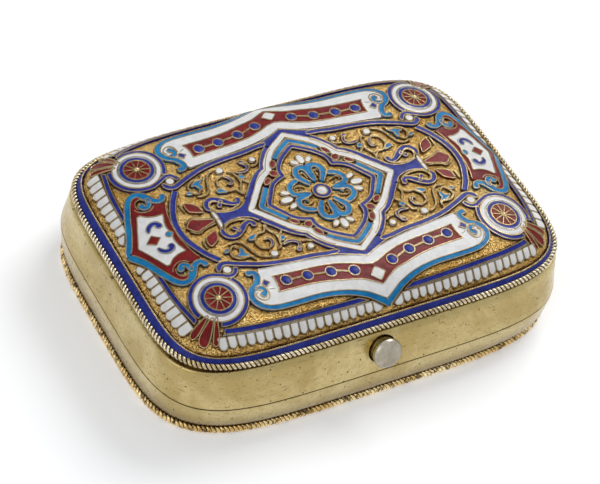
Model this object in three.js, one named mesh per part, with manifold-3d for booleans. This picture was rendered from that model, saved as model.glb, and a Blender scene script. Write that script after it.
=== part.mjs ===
// A silver-gilt enamel case: a shallow box with a rolled, hinged lid, a push-button catch
// and a lid plaque of enamel fields standing on a stippled gilt ground.
// Millimetres, +Z up. The origin is on the resting plane under the middle of the case.
// +X runs along the case, -Y is the front with the button, +Y the rear with the hinge.
import * as THREE from "three";
import { mergeVertices } from "three/addons/utils/BufferGeometryUtils.js";
import Module from "manifold-3d";

const wasm = await Module();
wasm.setup();

// Outline and height of the case at its seam, where it is largest
const caseHeight = 28.4;
const seamHeight = 9.59;
const seamHalfLength = 52.07;
const seamHalfWidth = 38.21;
const seamRoundness = 4.92;
const seamGap = 0.3;
const wall = 1.2;

// Lid wall, which leans in from the seam to the shoulder under the rope border. Its middle and upper
// levels, and the button, are placed by their share of the way up from the seam to the shoulder
const lidShoulderDrop = 9.71;
const lidFlareHeight = 1.9;
const lidFlareInset = [0.27, 0.46];
const lidFlareRoundness = 5.0;
const lidMiddleShare = 4.8 / 9.1;
const lidMiddleInset = [0.77, 1.41];
const lidMiddleRoundness = 5.2;
const lidUpperShare = 7.4 / 9.1;
const lidUpperInset = [1.0, 2.25];
const lidUpperRoundness = 5.35;
const lidShoulderInset = [1.12, 3.16];
const ropeSeatInset = [1.57, 3.86];
const ropeSeatRise = 0.1;

// Rolled top: a crown that is flat in the middle and drops at the edge
const crownRise = 9.15;
const crownSteepness = 9.42;
const crownInset = [1.14, 3.36];
const crownRoundness = 5.58;

// Enamel plaque, its fields and the lid deck under it. The rings of the deck and the plaque are
// shares of the plaque's outline
const plaqueEdgeInset = [1.18, 0.4];
const plaqueRoundness = 6;
const enamelThickness = 0.6;
const enamelSeat = 0.4;
const plaqueThickness = 0.7;
const plaqueSeat = 0.45;
const plaqueShares = [0.45, 0.62, 0.74, 0.83, 0.9, 0.955, 1];
const deckInnerShares = [0.4, 0.62, 0.78, 0.88, 0.95];

// Cobalt band round the crown, and the strip of ground between it and the tips of the tongues
const bandOuterInset = [1.48, 0.75];
const bandInnerInset = [2.28, 1.25];
const tipStrip = [1.45, 1.0];

// Rope borders, plain rings under their twist
const ropeSides = 6;
const lidRopeRadius = 0.5;
const lidRopeInset = [0.63, 0.15];
const baseRopeRadius = 1.0;
const baseRopeCentreInset = [0.77, 1.31];

// Base
const basePlateThickness = 1.0;
const baseFloorThickness = 1.1;
const basePlateInset = 0.05;
const baseFootRoundness = 4.6;
const baseRopeGap = 0.4;
const baseHemSlope = 0.05;
const baseHemInset = [0.62, 1.2];
const baseHemRoundness = 4.65;
const baseLowRise = 1;
const baseLowInset = [0.42, 0.5];
const baseLowRoundness = 4.7;
const baseWallHeight = 5.05;
const baseWallInset = [0.3, 0.12];
const baseWallRoundness = 4.8;
const fitGap = 0.3;

// Bezel that stands inside the lid
const bezelThickness = 0.7;
const bezelStand = 1.4;
const bezelHeight = 5.7;
const bezelGap = [0.42, 0.6];
const bezelLean = [0.15, 0.2];
const bezelFootInset = 0.2;
const bezelFootRoundness = 4.85;

// Rear hinge
const knuckleRadius = 1.2;
const knuckleLength = 9;
const knuckleCount = 5;
const knuckleGap = 0.3;
const hingeGrooveGap = 0.3;
const pinRadius = 0.45;
const pinGap = 0.3;
const hingeStandout = 1.05;

// Push button and catch. Distances run inwards from the wall, square to its lean
const buttonX = -2.3;
const buttonShare = 5.41 / 9.1;
const buttonLean = 20;
const buttonRadius = 3.15;
const buttonStand = 2.9;
const buttonCrown = 0.8;
const buttonDepth = 1.4;
const buttonTravel = 0.8;
const stemRadius = 1.0;
const stemLength = 4.4;
const guideDistance = 3.4;
const guideThickness = 0.6;
const guideWidth = 6;
const guideReach = 2.2;
const guideTopDrop = 7.292;
const springHeight = 0.6;
const springWall = 0.5;
const hookThickness = 0.8;
const hookWidth = 5;
const hookReach = [6, 1.4];
const noseReach = 0.9;
const noseHeight = 1.0;
const keeperWidth = 4.4;
const keeperHeight = 1.5;

// Facets, and how far a cutting shape runs past what it cuts
const ringPoints = 48;
const roundSides = 12;
const buttonSides = 24;
const crownSteps = 4;
const allowedSag = 0.2;
const splitPasses = 3;
const cutRoom = 0.5;

const gilt = { color: 0xbea878, roughness: 0.32, metalness: 0.95 };
const paleGilt = { color: 0xd8cfae, roughness: 0.3, metalness: 0.95 };
const goldGround = { color: 0xc89a52, roughness: 0.45, metalness: 0.9 };
const silver = { color: 0xa5a096, roughness: 0.35, metalness: 0.95 };
const steel = { color: 0x8a8880, roughness: 0.35, metalness: 0.95 };
const white = { color: 0xebe8eb, roughness: 0.2, metalness: 0 };
const cobalt = { color: 0x2d3c96, roughness: 0.2, metalness: 0 };
const turquoise = { color: 0x1e8cc3, roughness: 0.2, metalness: 0 };
const red = { color: 0x8c1e23, roughness: 0.2, metalness: 0 };

const enamelCase = new THREE.Group();

function addPiece(name, geometry, finish) {
  const mesh = new THREE.Mesh(geometry, new THREE.MeshStandardMaterial(finish));
  mesh.name = name;
  enamelCase.add(mesh);
}

// Solids and booleans

function toManifold(geometry) {
  const bare = geometry.clone();
  bare.deleteAttribute("normal");
  bare.deleteAttribute("uv");
  const merged = mergeVertices(bare, 1e-4);
  return new wasm.Manifold(new wasm.Mesh({
    numProp: 3,
    vertProperties: new Float32Array(merged.attributes.position.array),
    triVerts: new Uint32Array(merged.index.array),
  }));
}

function toGeometry(solid) {
  const mesh = solid.getMesh();
  const geometry = new THREE.BufferGeometry();
  geometry.setAttribute("position", new THREE.BufferAttribute(new Float32Array(mesh.vertProperties), 3));
  geometry.setIndex(new THREE.BufferAttribute(new Uint32Array(mesh.triVerts), 1));
  return geometry;
}

function joined(solids) {
  return solids.reduce((whole, solid) => whole.add(solid));
}

// A ring of the rounded outline with the given half sizes, the same point count on every ring
function outlinePoint(halfLength, halfWidth, roundness, index, count = ringPoints) {
  const angle = (2 * Math.PI * index) / count;
  const cosine = Math.cos(angle);
  const sine = Math.sin(angle);
  const x = halfLength * Math.sign(cosine) * Math.pow(Math.abs(cosine), 2 / roundness);
  const y = halfWidth * Math.sign(sine) * Math.pow(Math.abs(sine), 2 / roundness);
  return [x, y];
}

function levelRing(halfLength, halfWidth, roundness, z) {
  const ring = [];
  for (let index = 0; index < ringPoints; index += 1) {
    const [x, y] = outlinePoint(halfLength, halfWidth, roundness, index);
    ring.push([x, y, z]);
  }
  return ring;
}

// Joins rings one after another. A ring of one point closes an end; a closed loft returns to its start
function loft(rings, closed = false) {
  const positions = [];
  const starts = [];
  for (const ring of rings) {
    starts.push(positions.length / 3);
    for (const point of ring) {
      positions.push(...point);
    }
  }
  const indices = [];
  const links = closed ? rings.length : rings.length - 1;
  for (let link = 0; link < links; link += 1) {
    const next = (link + 1) % rings.length;
    const count = Math.max(rings[link].length, rings[next].length);
    for (let index = 0; index < count; index += 1) {
      const along = (index + 1) % count;
      const a = starts[link] + (rings[link].length === 1 ? 0 : index);
      const b = starts[link] + (rings[link].length === 1 ? 0 : along);
      const c = starts[next] + (rings[next].length === 1 ? 0 : along);
      const d = starts[next] + (rings[next].length === 1 ? 0 : index);
      if (a !== b) {
        indices.push(a, b, c);
      }
      if (c !== d) {
        indices.push(a, c, d);
      }
    }
  }
  const geometry = new THREE.BufferGeometry();
  geometry.setAttribute("position", new THREE.BufferAttribute(new Float32Array(positions), 3));
  geometry.setIndex(indices);
  return geometry;
}

// Crown of the lid

const crownHalfLength = seamHalfLength - crownInset[0];
const crownHalfWidth = seamHalfWidth - crownInset[1];
const plaqueHalfLength = crownHalfLength - plaqueEdgeInset[0];
const plaqueHalfWidth = crownHalfWidth - plaqueEdgeInset[1];

// The point over (x, y) on the crown, lifted off it along the surface's own normal
function onCrown(x, y, lift) {
  const power = crownRoundness;
  const reachX = Math.pow(Math.abs(x) / crownHalfLength, power);
  const reachY = Math.pow(Math.abs(y) / crownHalfWidth, power);
  const level = Math.pow(reachX + reachY, 1 / power);
  if (level < 1e-6) {
    return [x, y, caseHeight + lift];
  }
  const fall = crownRise * crownSteepness * Math.pow(level, crownSteepness - power);
  const slopeX = (fall * reachX) / (x || 1);
  const slopeY = (fall * reachY) / (y || 1);
  const length = Math.hypot(slopeX, slopeY, 1);
  const height = caseHeight - crownRise * Math.pow(level, crownSteepness);
  return [x + (lift * slopeX) / length, y + (lift * slopeY) / length, height + lift / length];
}

// A ring on the crown, at a share of the plaque's outline and a depth below the enamel's face
function crownRing(share, depth) {
  const ring = [];
  for (let index = 0; index < ringPoints; index += 1) {
    const [halfLength, halfWidth] = [share * plaqueHalfLength, share * plaqueHalfWidth];
    const [x, y] = outlinePoint(halfLength, halfWidth, plaqueRoundness, index);
    ring.push(onCrown(x, y, -depth));
  }
  return ring;
}

// A round tube that follows a closed run of points, with its section square to the run
function tubeRing(centres, outward, radius) {
  const sections = [];
  for (let index = 0; index < centres.length; index += 1) {
    const section = [];
    const before = new THREE.Vector3(...centres[(index + centres.length - 1) % centres.length]);
    const after = new THREE.Vector3(...centres[(index + 1) % centres.length]);
    const along = after.sub(before).normalize();
    const out = new THREE.Vector3(...outward(index)).projectOnPlane(along).normalize();
    const side = along.clone().cross(out);
    for (let corner = 0; corner < ropeSides; corner += 1) {
      const angle = (2 * Math.PI * corner) / ropeSides;
      const point = new THREE.Vector3(...centres[index]);
      point.addScaledVector(out, radius * Math.cos(angle));
      point.addScaledVector(side, radius * Math.sin(angle));
      section.push(point.toArray());
    }
    sections.push(section);
  }
  return loft(sections, true);
}

const plaqueTop = enamelThickness + enamelSeat;
const plaqueBottom = plaqueTop + plaqueThickness;
const deckTop = plaqueBottom + plaqueSeat;
const deckBottom = deckTop + wall;

function seamRingInset(inset, roundness, z) {
  return levelRing(seamHalfLength - inset[0], seamHalfWidth - inset[1], roundness, z);
}

// Lid shell

const lidEdge = seamHeight + seamGap / 2;
const baseEdge = seamHeight - seamGap / 2;
const lidWallTop = caseHeight - lidShoulderDrop;
const lidWallHeight = lidWallTop - seamHeight;
const lidLevels = [
  { inset: [0, 0], roundness: seamRoundness, z: lidEdge },
  { inset: lidFlareInset, roundness: lidFlareRoundness, z: seamHeight + lidFlareHeight },
  { inset: lidMiddleInset, roundness: lidMiddleRoundness, z: seamHeight + lidMiddleShare * lidWallHeight },
  { inset: lidUpperInset, roundness: lidUpperRoundness, z: seamHeight + lidUpperShare * lidWallHeight },
];

const lidRings = [];
lidRings.push([onCrown(0, 0, -deckTop)]);
for (const share of plaqueShares) {
  lidRings.push(crownRing(share, deckTop));
}
lidRings.push(seamRingInset(ropeSeatInset, crownRoundness, lidWallTop + ropeSeatRise));
lidRings.push(seamRingInset(lidShoulderInset, crownRoundness, lidWallTop));
for (const level of [...lidLevels].reverse()) {
  lidRings.push(seamRingInset(level.inset, level.roundness, level.z));
}
for (const level of lidLevels) {
  lidRings.push(seamRingInset([level.inset[0] + wall, level.inset[1] + wall], level.roundness, level.z));
}
for (const share of [...deckInnerShares].reverse()) {
  lidRings.push(crownRing(share, deckBottom));
}
lidRings.push([onCrown(0, 0, -deckBottom)]);
let lidShell = toManifold(loft(lidRings.reverse()));

// Base shell, with a floor that closes it

const baseRopeHeight = basePlateThickness + fitGap;
const baseFloorBottom = basePlateThickness + fitGap;
const baseFloorTop = baseFloorBottom + baseFloorThickness;
const ropeTop = baseRopeHeight + baseRopeRadius + fitGap;
const footInset = [
  baseRopeCentreInset[0] + baseRopeRadius + baseRopeGap,
  baseRopeCentreInset[1] + baseRopeRadius + baseRopeGap,
];
const baseRings = [
  [[0, 0, baseFloorBottom]],
  seamRingInset(footInset, baseFootRoundness, baseFloorBottom),
  seamRingInset(footInset, baseFootRoundness, ropeTop - baseHemSlope),
  seamRingInset(baseHemInset, baseHemRoundness, ropeTop),
  seamRingInset(baseLowInset, baseLowRoundness, ropeTop + baseLowRise),
  seamRingInset(baseWallInset, baseWallRoundness, baseWallHeight),
  seamRingInset([0, 0], seamRoundness, baseEdge),
  seamRingInset([wall, wall], seamRoundness, baseEdge),
  seamRingInset([baseWallInset[0] + wall, baseWallInset[1] + wall], baseWallRoundness, baseWallHeight),
  seamRingInset([baseWallInset[0] + 2 * wall, baseWallInset[1] + 2 * wall], baseLowRoundness, baseFloorTop),
  [[0, 0, baseFloorTop]],
];
let baseShell = toManifold(loft(baseRings));

const plateInset = [footInset[0] + basePlateInset, footInset[1] + basePlateInset];
addPiece("base_plate", loft([
  [[0, 0, 0]],
  seamRingInset(plateInset, baseFootRoundness, 0),
  seamRingInset(plateInset, baseFootRoundness, basePlateThickness),
  [[0, 0, basePlateThickness]],
]), gilt);

function levelRope(inset, roundness, z, radius) {
  const centres = seamRingInset(inset, roundness, z);
  return tubeRing(centres, (index) => [centres[index][0], centres[index][1], 0], radius);
}

const baseRope = levelRope(baseRopeCentreInset, baseFootRoundness, baseRopeHeight, baseRopeRadius);
addPiece("base_rope_border", baseRope, paleGilt);

const ropeHalfLength = crownHalfLength - lidRopeInset[0];
const ropeHalfWidth = crownHalfWidth - lidRopeInset[1];
const lidRopeCentres = [];
for (let index = 0; index < ringPoints; index += 1) {
  const [x, y] = outlinePoint(ropeHalfLength, ropeHalfWidth, crownRoundness, index);
  lidRopeCentres.push(onCrown(x, y, 0));
}
addPiece("lid_rope_border", tubeRing(lidRopeCentres, () => [0, 0, 1], lidRopeRadius), paleGilt);

// Bezel: an upright strip inside the base wall that the lid closes over

const bezelTop = baseEdge + bezelStand;
const bezelBottom = baseEdge + bezelStand - bezelHeight;
const bezelOuter = [wall + bezelGap[0] + bezelFootInset, wall + bezelGap[1]];
const bezelInner = [bezelOuter[0] + bezelThickness, bezelOuter[1] + bezelThickness];
const bezelOuterTop = [wall + bezelGap[0] + bezelLean[0], wall + bezelGap[1] + bezelLean[1]];
const bezelInnerTop = [bezelOuterTop[0] + bezelThickness, bezelOuterTop[1] + bezelThickness];
addPiece("base_bezel", loft([
  seamRingInset(bezelInner, bezelFootRoundness, bezelBottom),
  seamRingInset(bezelOuter, bezelFootRoundness, bezelBottom),
  seamRingInset(bezelOuterTop, seamRoundness, bezelTop),
  seamRingInset(bezelInnerTop, seamRoundness, bezelTop),
], true), gilt);

// Hinge at the rear, set into a groove across the seam

const hingeY = seamHalfWidth + hingeStandout;
const hingeSpan = knuckleCount * knuckleLength + (knuckleCount - 1) * knuckleGap;

function turned(profile, sides = roundSides) {
  const points = profile.map(([radius, along]) => new THREE.Vector2(radius, along));
  return new THREE.LatheGeometry(points, sides);
}

// Lathe shapes stand along +Y; this lays one along +X from the given start
function alongX(geometry, x, y, z) {
  geometry.rotateZ(-Math.PI / 2);
  geometry.translate(x, y, z);
  return geometry;
}

function rod(radius, length) {
  return turned([[0, 0], [radius, 0], [radius, length], [0, length]]);
}

function tube(outer, inner, length) {
  return turned([[inner, 0], [outer, 0], [outer, length], [inner, length], [inner, 0]]);
}

const grooveCut = toManifold(alongX(
  rod(knuckleRadius + hingeGrooveGap, hingeSpan + 2 * hingeGrooveGap),
  -hingeSpan / 2 - hingeGrooveGap, hingeY, seamHeight,
));
lidShell = lidShell.subtract(grooveCut);
baseShell = baseShell.subtract(grooveCut);

for (let index = 0; index < knuckleCount; index += 1) {
  const start = -hingeSpan / 2 + index * (knuckleLength + knuckleGap);
  const owner = index % 2 === 0 ? "base" : "lid";
  const barrel = tube(knuckleRadius, pinRadius + pinGap, knuckleLength);
  addPiece(`${owner}_hinge_knuckle_${index + 1}`, alongX(barrel, start, hingeY, seamHeight), gilt);
}
addPiece("hinge_pin", alongX(rod(pinRadius, hingeSpan), -hingeSpan / 2, hingeY, seamHeight), steel);

// Push button in the front wall, and the catch behind it

const buttonZ = seamHeight + buttonShare * lidWallHeight;
const lean = THREE.MathUtils.degToRad(buttonLean);
const [lidMiddle, lidUpper] = [lidLevels[2], lidLevels[3]];
const wallShare = (buttonZ - lidMiddle.z) / (lidUpper.z - lidMiddle.z);
const wallInset = lidMiddle.inset[1] + wallShare * (lidUpper.inset[1] - lidMiddle.inset[1]);
const buttonY = -(seamHalfWidth - wallInset);

// Pieces are made with +Y inwards along the button's axis, then leaned with the wall
function atButton(geometry) {
  geometry.rotateX(-lean);
  geometry.translate(buttonX, buttonY, buttonZ);
  return geometry;
}

function block(x0, x1, y0, y1, z0, z1) {
  const geometry = new THREE.BoxGeometry(x1 - x0, y1 - y0, z1 - z0);
  geometry.translate((x0 + x1) / 2, (y0 + y1) / 2, (z0 + z1) / 2);
  return geometry;
}

// A round piece on the button's axis, starting at the given distance inwards
function onAxis(geometry, distance) {
  geometry.translate(0, distance, 0);
  return atButton(geometry);
}

const crownProfile = [[0, -buttonStand - buttonCrown]];
for (let step = 1; step <= crownSteps; step += 1) {
  const angle = (step / crownSteps) * (Math.PI / 2);
  crownProfile.push([buttonRadius * Math.sin(angle), -buttonStand - buttonCrown * Math.cos(angle)]);
}
addPiece("push_button", atButton(turned([
  ...crownProfile,
  [buttonRadius, buttonDepth],
  [0, buttonDepth],
], buttonSides)), silver);
addPiece("button_stem", onAxis(rod(stemRadius, stemLength), buttonDepth), silver);

const boreStart = -buttonStand - buttonCrown - 2 * cutRoom;
const boreEnd = buttonDepth + buttonTravel + fitGap;
const boreCut = turned([
  [0, boreStart],
  [buttonRadius + fitGap, boreStart],
  [buttonRadius + fitGap, boreEnd],
  [0, boreEnd],
], buttonSides);
lidShell = lidShell.subtract(toManifold(atButton(boreCut)));

const guideEnd = guideDistance + guideThickness;
const guideTop = (caseHeight - guideTopDrop - buttonZ) / Math.cos(lean);
const guidePlate = toManifold(atButton(block(
  -guideWidth / 2, guideWidth / 2, guideDistance, guideEnd, -guideReach, guideTop,
)));
const stemHole = rod(stemRadius + fitGap, guideThickness + 2 * cutRoom);
const stemBore = toManifold(onAxis(stemHole, guideDistance - cutRoom));
addPiece("button_guide", toGeometry(guidePlate.subtract(stemBore)), gilt);
const springInner = stemRadius + fitGap;
const springStart = guideDistance - fitGap - springHeight;
const spring = tube(springInner + springWall, springInner, springHeight);
addPiece("button_spring", onAxis(spring, springStart), steel);

const hookFace = buttonDepth + stemLength;
const hookEnd = hookFace + hookThickness;
const hookBlock = (near, far, low, high) => toManifold(atButton(block(
  -hookWidth / 2, hookWidth / 2, near, far, low, high,
)));
addPiece("catch_hook", toGeometry(joined([
  hookBlock(hookFace, hookEnd, -hookReach[0], hookReach[1]),
  hookBlock(hookFace - noseReach, hookEnd, -hookReach[0], -hookReach[0] + noseHeight),
])), steel);

// The keeper hangs over the nose from the bezel, just clear of it
const noseNear = hookFace - noseReach;
const noseFront = buttonY + noseNear * Math.cos(lean) - hookReach[0] * Math.sin(lean);
const noseTop = buttonZ - noseNear * Math.sin(lean) - (hookReach[0] - noseHeight) * Math.cos(lean);
const bezelInnerFront = -(seamHalfWidth - bezelInnerTop[1]);
addPiece("catch_keeper", block(
  buttonX - keeperWidth / 2, buttonX + keeperWidth / 2,
  bezelInnerFront + fitGap, noseFront - fitGap,
  noseTop + fitGap, noseTop + fitGap + keeperHeight,
), steel);

addPiece("lid_shell", toGeometry(lidShell), gilt);
addPiece("base_shell", toGeometry(baseShell), gilt);

addPiece("top_plaque", loft([
  [onCrown(0, 0, -plaqueBottom)],
  ...plaqueShares.map((share) => crownRing(share, plaqueBottom)),
  ...[...plaqueShares].reverse().map((share) => crownRing(share, plaqueTop)),
  [onCrown(0, 0, -plaqueTop)],
]), goldGround);

// Rows of white tongues that frame the pattern. Each row stands on the line behind it
const frontTips = [
  [5, 32.4], [12, 32.6], [24, 32.6], [31, 32.0], [35, 31.4], [38.6, 30.8],
];
const frontRoots = [
  [5, 30.1], [7, 29.5], [14, 29.4], [20, 29.4], [26, 29.2], [31, 28.7], [35, 28.1], [38.6, 27.1],
];
const sideTips = [[47.2, 5.7], [47.2, 15.4], [47.0, 20], [46.3, 23.8]];
const sideRoots = [
  [45.4, 5.7], [44.85, 7.4], [44.15, 9.4], [44.0, 12], [43.8, 15], [43.2, 20], [42.5, 23.8],
];
const tonguePitch = 2.05;
const tongueNotch = 1.5;
const tongueRound = 0.35;

// Enamel pattern. One quarter is drawn, with x and y positive, and laid in the four corners. It is
// stretched so that its outermost tongues end at the strip inside the cobalt band
const tipReachX = Math.max(...sideTips.map(([x]) => x));
const tipReachY = Math.max(...frontTips.map(([, y]) => y));
const stretchX = (crownHalfLength - bandInnerInset[0] - tipStrip[0]) / tipReachX;
const stretchY = (crownHalfWidth - bandInnerInset[1] - tipStrip[1]) / tipReachY;

const lineWidth = 0.9;
const thinLineWidth = 0.75;
const wireWidth = 0.6;
const sunk = -0.12;
const backing = -0.3;
const coarseSides = 8;
const roundelSides = 20;
const redSides = 16;

const corners = [
  { name: "front_left", x: -1, y: -1 },
  { name: "front_right", x: 1, y: -1 },
  { name: "rear_left", x: -1, y: 1 },
  { name: "rear_right", x: 1, y: 1 },
];
const halves = [
  { name: "left", x: -1 },
  { name: "right", x: 1 },
];
const longSides = [
  { name: "front", y: -1 },
  { name: "rear", y: 1 },
];

function turnedTo(points, signX, signY) {
  return points.map(([x, y]) => [signX * x, signY * y]);
}

function mirroredX(points) {
  return [...points.map(([x, y]) => [-x, y]).reverse(), ...points];
}

function mirroredY(points) {
  return [...points.map(([x, y]) => [x, -y]).reverse(), ...points];
}

// A whole loop from its quarter, which runs from the Y axis to the X axis
function mirroredRound(points) {
  const half = [...points.map(([x, y]) => [-x, y]).reverse(), ...points.slice(1)];
  return [...half, ...half.slice(1, -1).map(([x, y]) => [x, -y]).reverse()];
}

// Drops doubled points and points in the middle of a straight run
function cleanOutline(points) {
  const outline = points.map(([x, y]) => new THREE.Vector2(x, y));
  const apart = (point, index) => point.distanceTo(outline.at(index - 1)) > 1e-3;
  const distinct = outline.filter(apart);
  return distinct.filter((point, index) => {
    const before = point.clone().sub(distinct.at(index - 1));
    const after = distinct.at((index + 1) % distinct.length).clone().sub(point);
    return Math.abs(before.cross(after)) > 1e-4;
  });
}

function flatShape(points) {
  return new THREE.Shape(cleanOutline(points));
}

function slab(shape, height) {
  const geometry = new THREE.ExtrudeGeometry(shape, {
    depth: enamelThickness + height,
    bevelEnabled: false,
    steps: 1,
  });
  geometry.translate(0, 0, -enamelThickness);
  return toManifold(geometry);
}

function field(points, height = 0) {
  return slab(flatShape(points), height);
}

function disc(x, y, radius, height = 0, sides = roundSides) {
  const points = [];
  for (let index = 0; index < sides; index += 1) {
    const angle = (2 * Math.PI * index) / sides;
    points.push([x + radius * Math.cos(angle), y + radius * Math.sin(angle)]);
  }
  return field(points, height);
}

// Both edges of a line of even width
function lineEdges(points, width, closed) {
  const left = [];
  const right = [];
  const last = points.length - 1;
  for (let index = 0; index <= last; index += 1) {
    const before = points[closed ? (index + last) % (last + 1) : Math.max(index - 1, 0)];
    const after = points[closed ? (index + 1) % (last + 1) : Math.min(index + 1, last)];
    const length = Math.hypot(after[0] - before[0], after[1] - before[1]);
    const acrossX = (-(after[1] - before[1]) / length) * (width / 2);
    const acrossY = ((after[0] - before[0]) / length) * (width / 2);
    left.push([points[index][0] + acrossX, points[index][1] + acrossY]);
    right.push([points[index][0] - acrossX, points[index][1] - acrossY]);
  }
  return [left, right];
}

function line(points, width = lineWidth, height = 0) {
  const [left, right] = lineEdges(points, width, false);
  return field([...left, ...right.reverse()], height);
}

// A field with a hole: whichever outline is the larger stays, and the other is cut from it
function framed(one, other, height = 0) {
  const area = (points) => Math.abs(THREE.ShapeUtils.area(cleanOutline(points)));
  const [outer, inner] = area(one) > area(other) ? [one, other] : [other, one];
  const cut = field(inner, height + 2 * cutRoom).translate([0, 0, -cutRoom]);
  return field(outer, height).subtract(cut);
}

function loop(points, width = lineWidth, height = 0) {
  const [left, right] = lineEdges(points, width, true);
  return framed(left, right, height);
}

function laidPoint([x, y, lift]) {
  return onCrown(x * stretchX, y * stretchY, lift);
}

// How far the crown bulges past the middle of a straight edge
function edgeSag(one, other, middle) {
  const [from, to, on] = [one, other, middle].map((point) => new THREE.Vector3(...laidPoint(point)));
  return from.add(to).multiplyScalar(0.5).distanceTo(on);
}

// Splits every edge that the crown bulges past, in all the triangles that share it
function splitOnce(points, triangles) {
  const middles = new Map();
  const middleOf = (a, b) => {
    const key = `${Math.min(a, b)}_${Math.max(a, b)}`;
    if (!middles.has(key)) {
      const middle = points[a].map((value, axis) => (value + points[b][axis]) / 2);
      const needed = edgeSag(points[a], points[b], middle) > allowedSag;
      middles.set(key, needed ? points.push(middle) - 1 : -1);
    }
    return middles.get(key);
  };
  const split = [];
  for (const [a, b, c] of triangles) {
    const rim = [middleOf(a, b), b, middleOf(b, c), c, middleOf(c, a), a];
    const first = [0, 2, 4].find((place) => rim[place] >= 0);
    if (first === undefined) {
      split.push([a, b, c]);
      continue;
    }
    const turnedRim = [...rim.slice(first), ...rim.slice(0, first)].filter((corner) => corner >= 0);
    for (let corner = 1; corner < turnedRim.length - 1; corner += 1) {
      split.push([turnedRim[0], turnedRim[corner], turnedRim[corner + 1]]);
    }
  }
  return split;
}

// Lays flat enamel on the crown
function layEnamel(name, solids, finish) {
  const mesh = joined(solids).getMesh();
  const points = [];
  for (let index = 0; index < mesh.vertProperties.length; index += 3) {
    points.push([...mesh.vertProperties.subarray(index, index + 3)]);
  }
  let triangles = [];
  for (let index = 0; index < mesh.triVerts.length; index += 3) {
    triangles.push([...mesh.triVerts.subarray(index, index + 3)]);
  }
  for (let pass = 0; pass < splitPasses; pass += 1) {
    triangles = splitOnce(points, triangles);
  }
  const geometry = new THREE.BufferGeometry();
  geometry.setAttribute("position", new THREE.Float32BufferAttribute(points.flatMap(laidPoint), 3));
  geometry.setIndex(triangles.flat());
  addPiece(name, geometry, finish);
}

// Cobalt band round the crown, inside the rope
function bandRing(inset, lift) {
  const ring = [];
  for (let index = 0; index < ringPoints; index += 1) {
    const halfLength = crownHalfLength - inset[0];
    const halfWidth = crownHalfWidth - inset[1];
    const [x, y] = outlinePoint(halfLength, halfWidth, plaqueRoundness, index);
    ring.push(onCrown(x, y, lift));
  }
  return ring;
}

addPiece("blue_border_band", loft([
  bandRing(bandOuterInset, -enamelThickness),
  bandRing(bandOuterInset, 0),
  bandRing(bandInnerInset, 0),
  bandRing(bandInnerInset, -enamelThickness),
], true), cobalt);

// Rows of white tongues
function between(points, value, from, to) {
  for (let index = 1; index < points.length; index += 1) {
    const [low, high] = [points[index - 1], points[index]];
    if (value <= high[from] || index === points.length - 1) {
      const share = (value - low[from]) / (high[from] - low[from]);
      return low[to] + share * (high[to] - low[to]);
    }
  }
  return 0;
}

function tongueRow(tips, roots, from, to, point) {
  const start = tips[0][from];
  const count = Math.round((tips[tips.length - 1][from] - start) / tonguePitch);
  const pitch = (tips[tips.length - 1][from] - start) / count;
  const outline = [];
  for (let tongue = 0; tongue < count; tongue += 1) {
    const left = start + tongue * pitch;
    const right = left + pitch;
    const notch = (at) => between(tips, at, from, to) - tongueNotch;
    outline.push(point(left, notch(left)));
    outline.push(point(left + tongueRound, between(tips, left, from, to)));
    outline.push(point(right - tongueRound, between(tips, right, from, to)));
  }
  const end = start + count * pitch;
  outline.push(point(end, between(tips, end, from, to) - tongueNotch));
  return [...outline, ...[...roots].reverse()];
}

const frontRow = tongueRow(frontTips, frontRoots, 0, 1, (along, out) => [along, out]);
const sideRow = tongueRow(sideTips, sideRoots, 1, 0, (along, out) => [out, along]);
for (const corner of corners) {
  const facing = (points) => turnedTo(points, corner.x, corner.y);
  layEnamel(`white_tongues_long_${corner.name}`, [field(facing(frontRow))], white);
  layEnamel(`white_tongues_short_${corner.name}`, [field(facing(sideRow))], white);
}

// Corner roundels: a red boss on a white disc
const roundelCentre = [36, 20.4];
const roundelRadii = { white: 5.2, red: 3.1, boss: 0.7 };
const bossStand = 0.25;
for (const corner of corners) {
  const x = corner.x * roundelCentre[0];
  const y = corner.y * roundelCentre[1];
  const rings = [
    disc(x, y, roundelRadii.white, sunk, roundelSides),
    disc(x, y, roundelRadii.red, 0, redSides),
    disc(x, y, roundelRadii.boss, bossStand, coarseSides),
  ];
  layEnamel(`corner_roundel_${corner.name}`, rings, white);
}

// Red three-petalled palmettes in the corners
const petals = [
  [
    [38.3, 25.6], [39, 26.9], [39.6, 28.8], [40.2, 29.2], [40.9, 28.9], [40.5, 28], [39.5, 26],
    [38.9, 25.2],
  ],
  [
    [39.2, 25.0], [40.3, 26.4], [41.6, 28.2], [42.5, 28.4], [43.2, 28], [43.4, 27.2], [42.8, 26.2],
    [39.9, 24.6],
  ],
  [
    [40.4, 24.2], [41.6, 25.0], [43.5, 25.9], [44.2, 26], [44.6, 25.5], [44.2, 24.6], [43.2, 24.2],
    [41, 23.8],
  ],
];
const petalRoot = [
  [38.5, 25.6], [39.3, 25.6], [40.4, 25.2], [41.2, 24.4], [41.2, 23.9], [40.6, 24.0], [39.6, 24.8],
];
for (const corner of corners) {
  const leaves = [...petals, petalRoot].map((outline) => field(turnedTo(outline, corner.x, corner.y)));
  layEnamel(`red_palmette_${corner.name}`, leaves, red);
}

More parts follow.
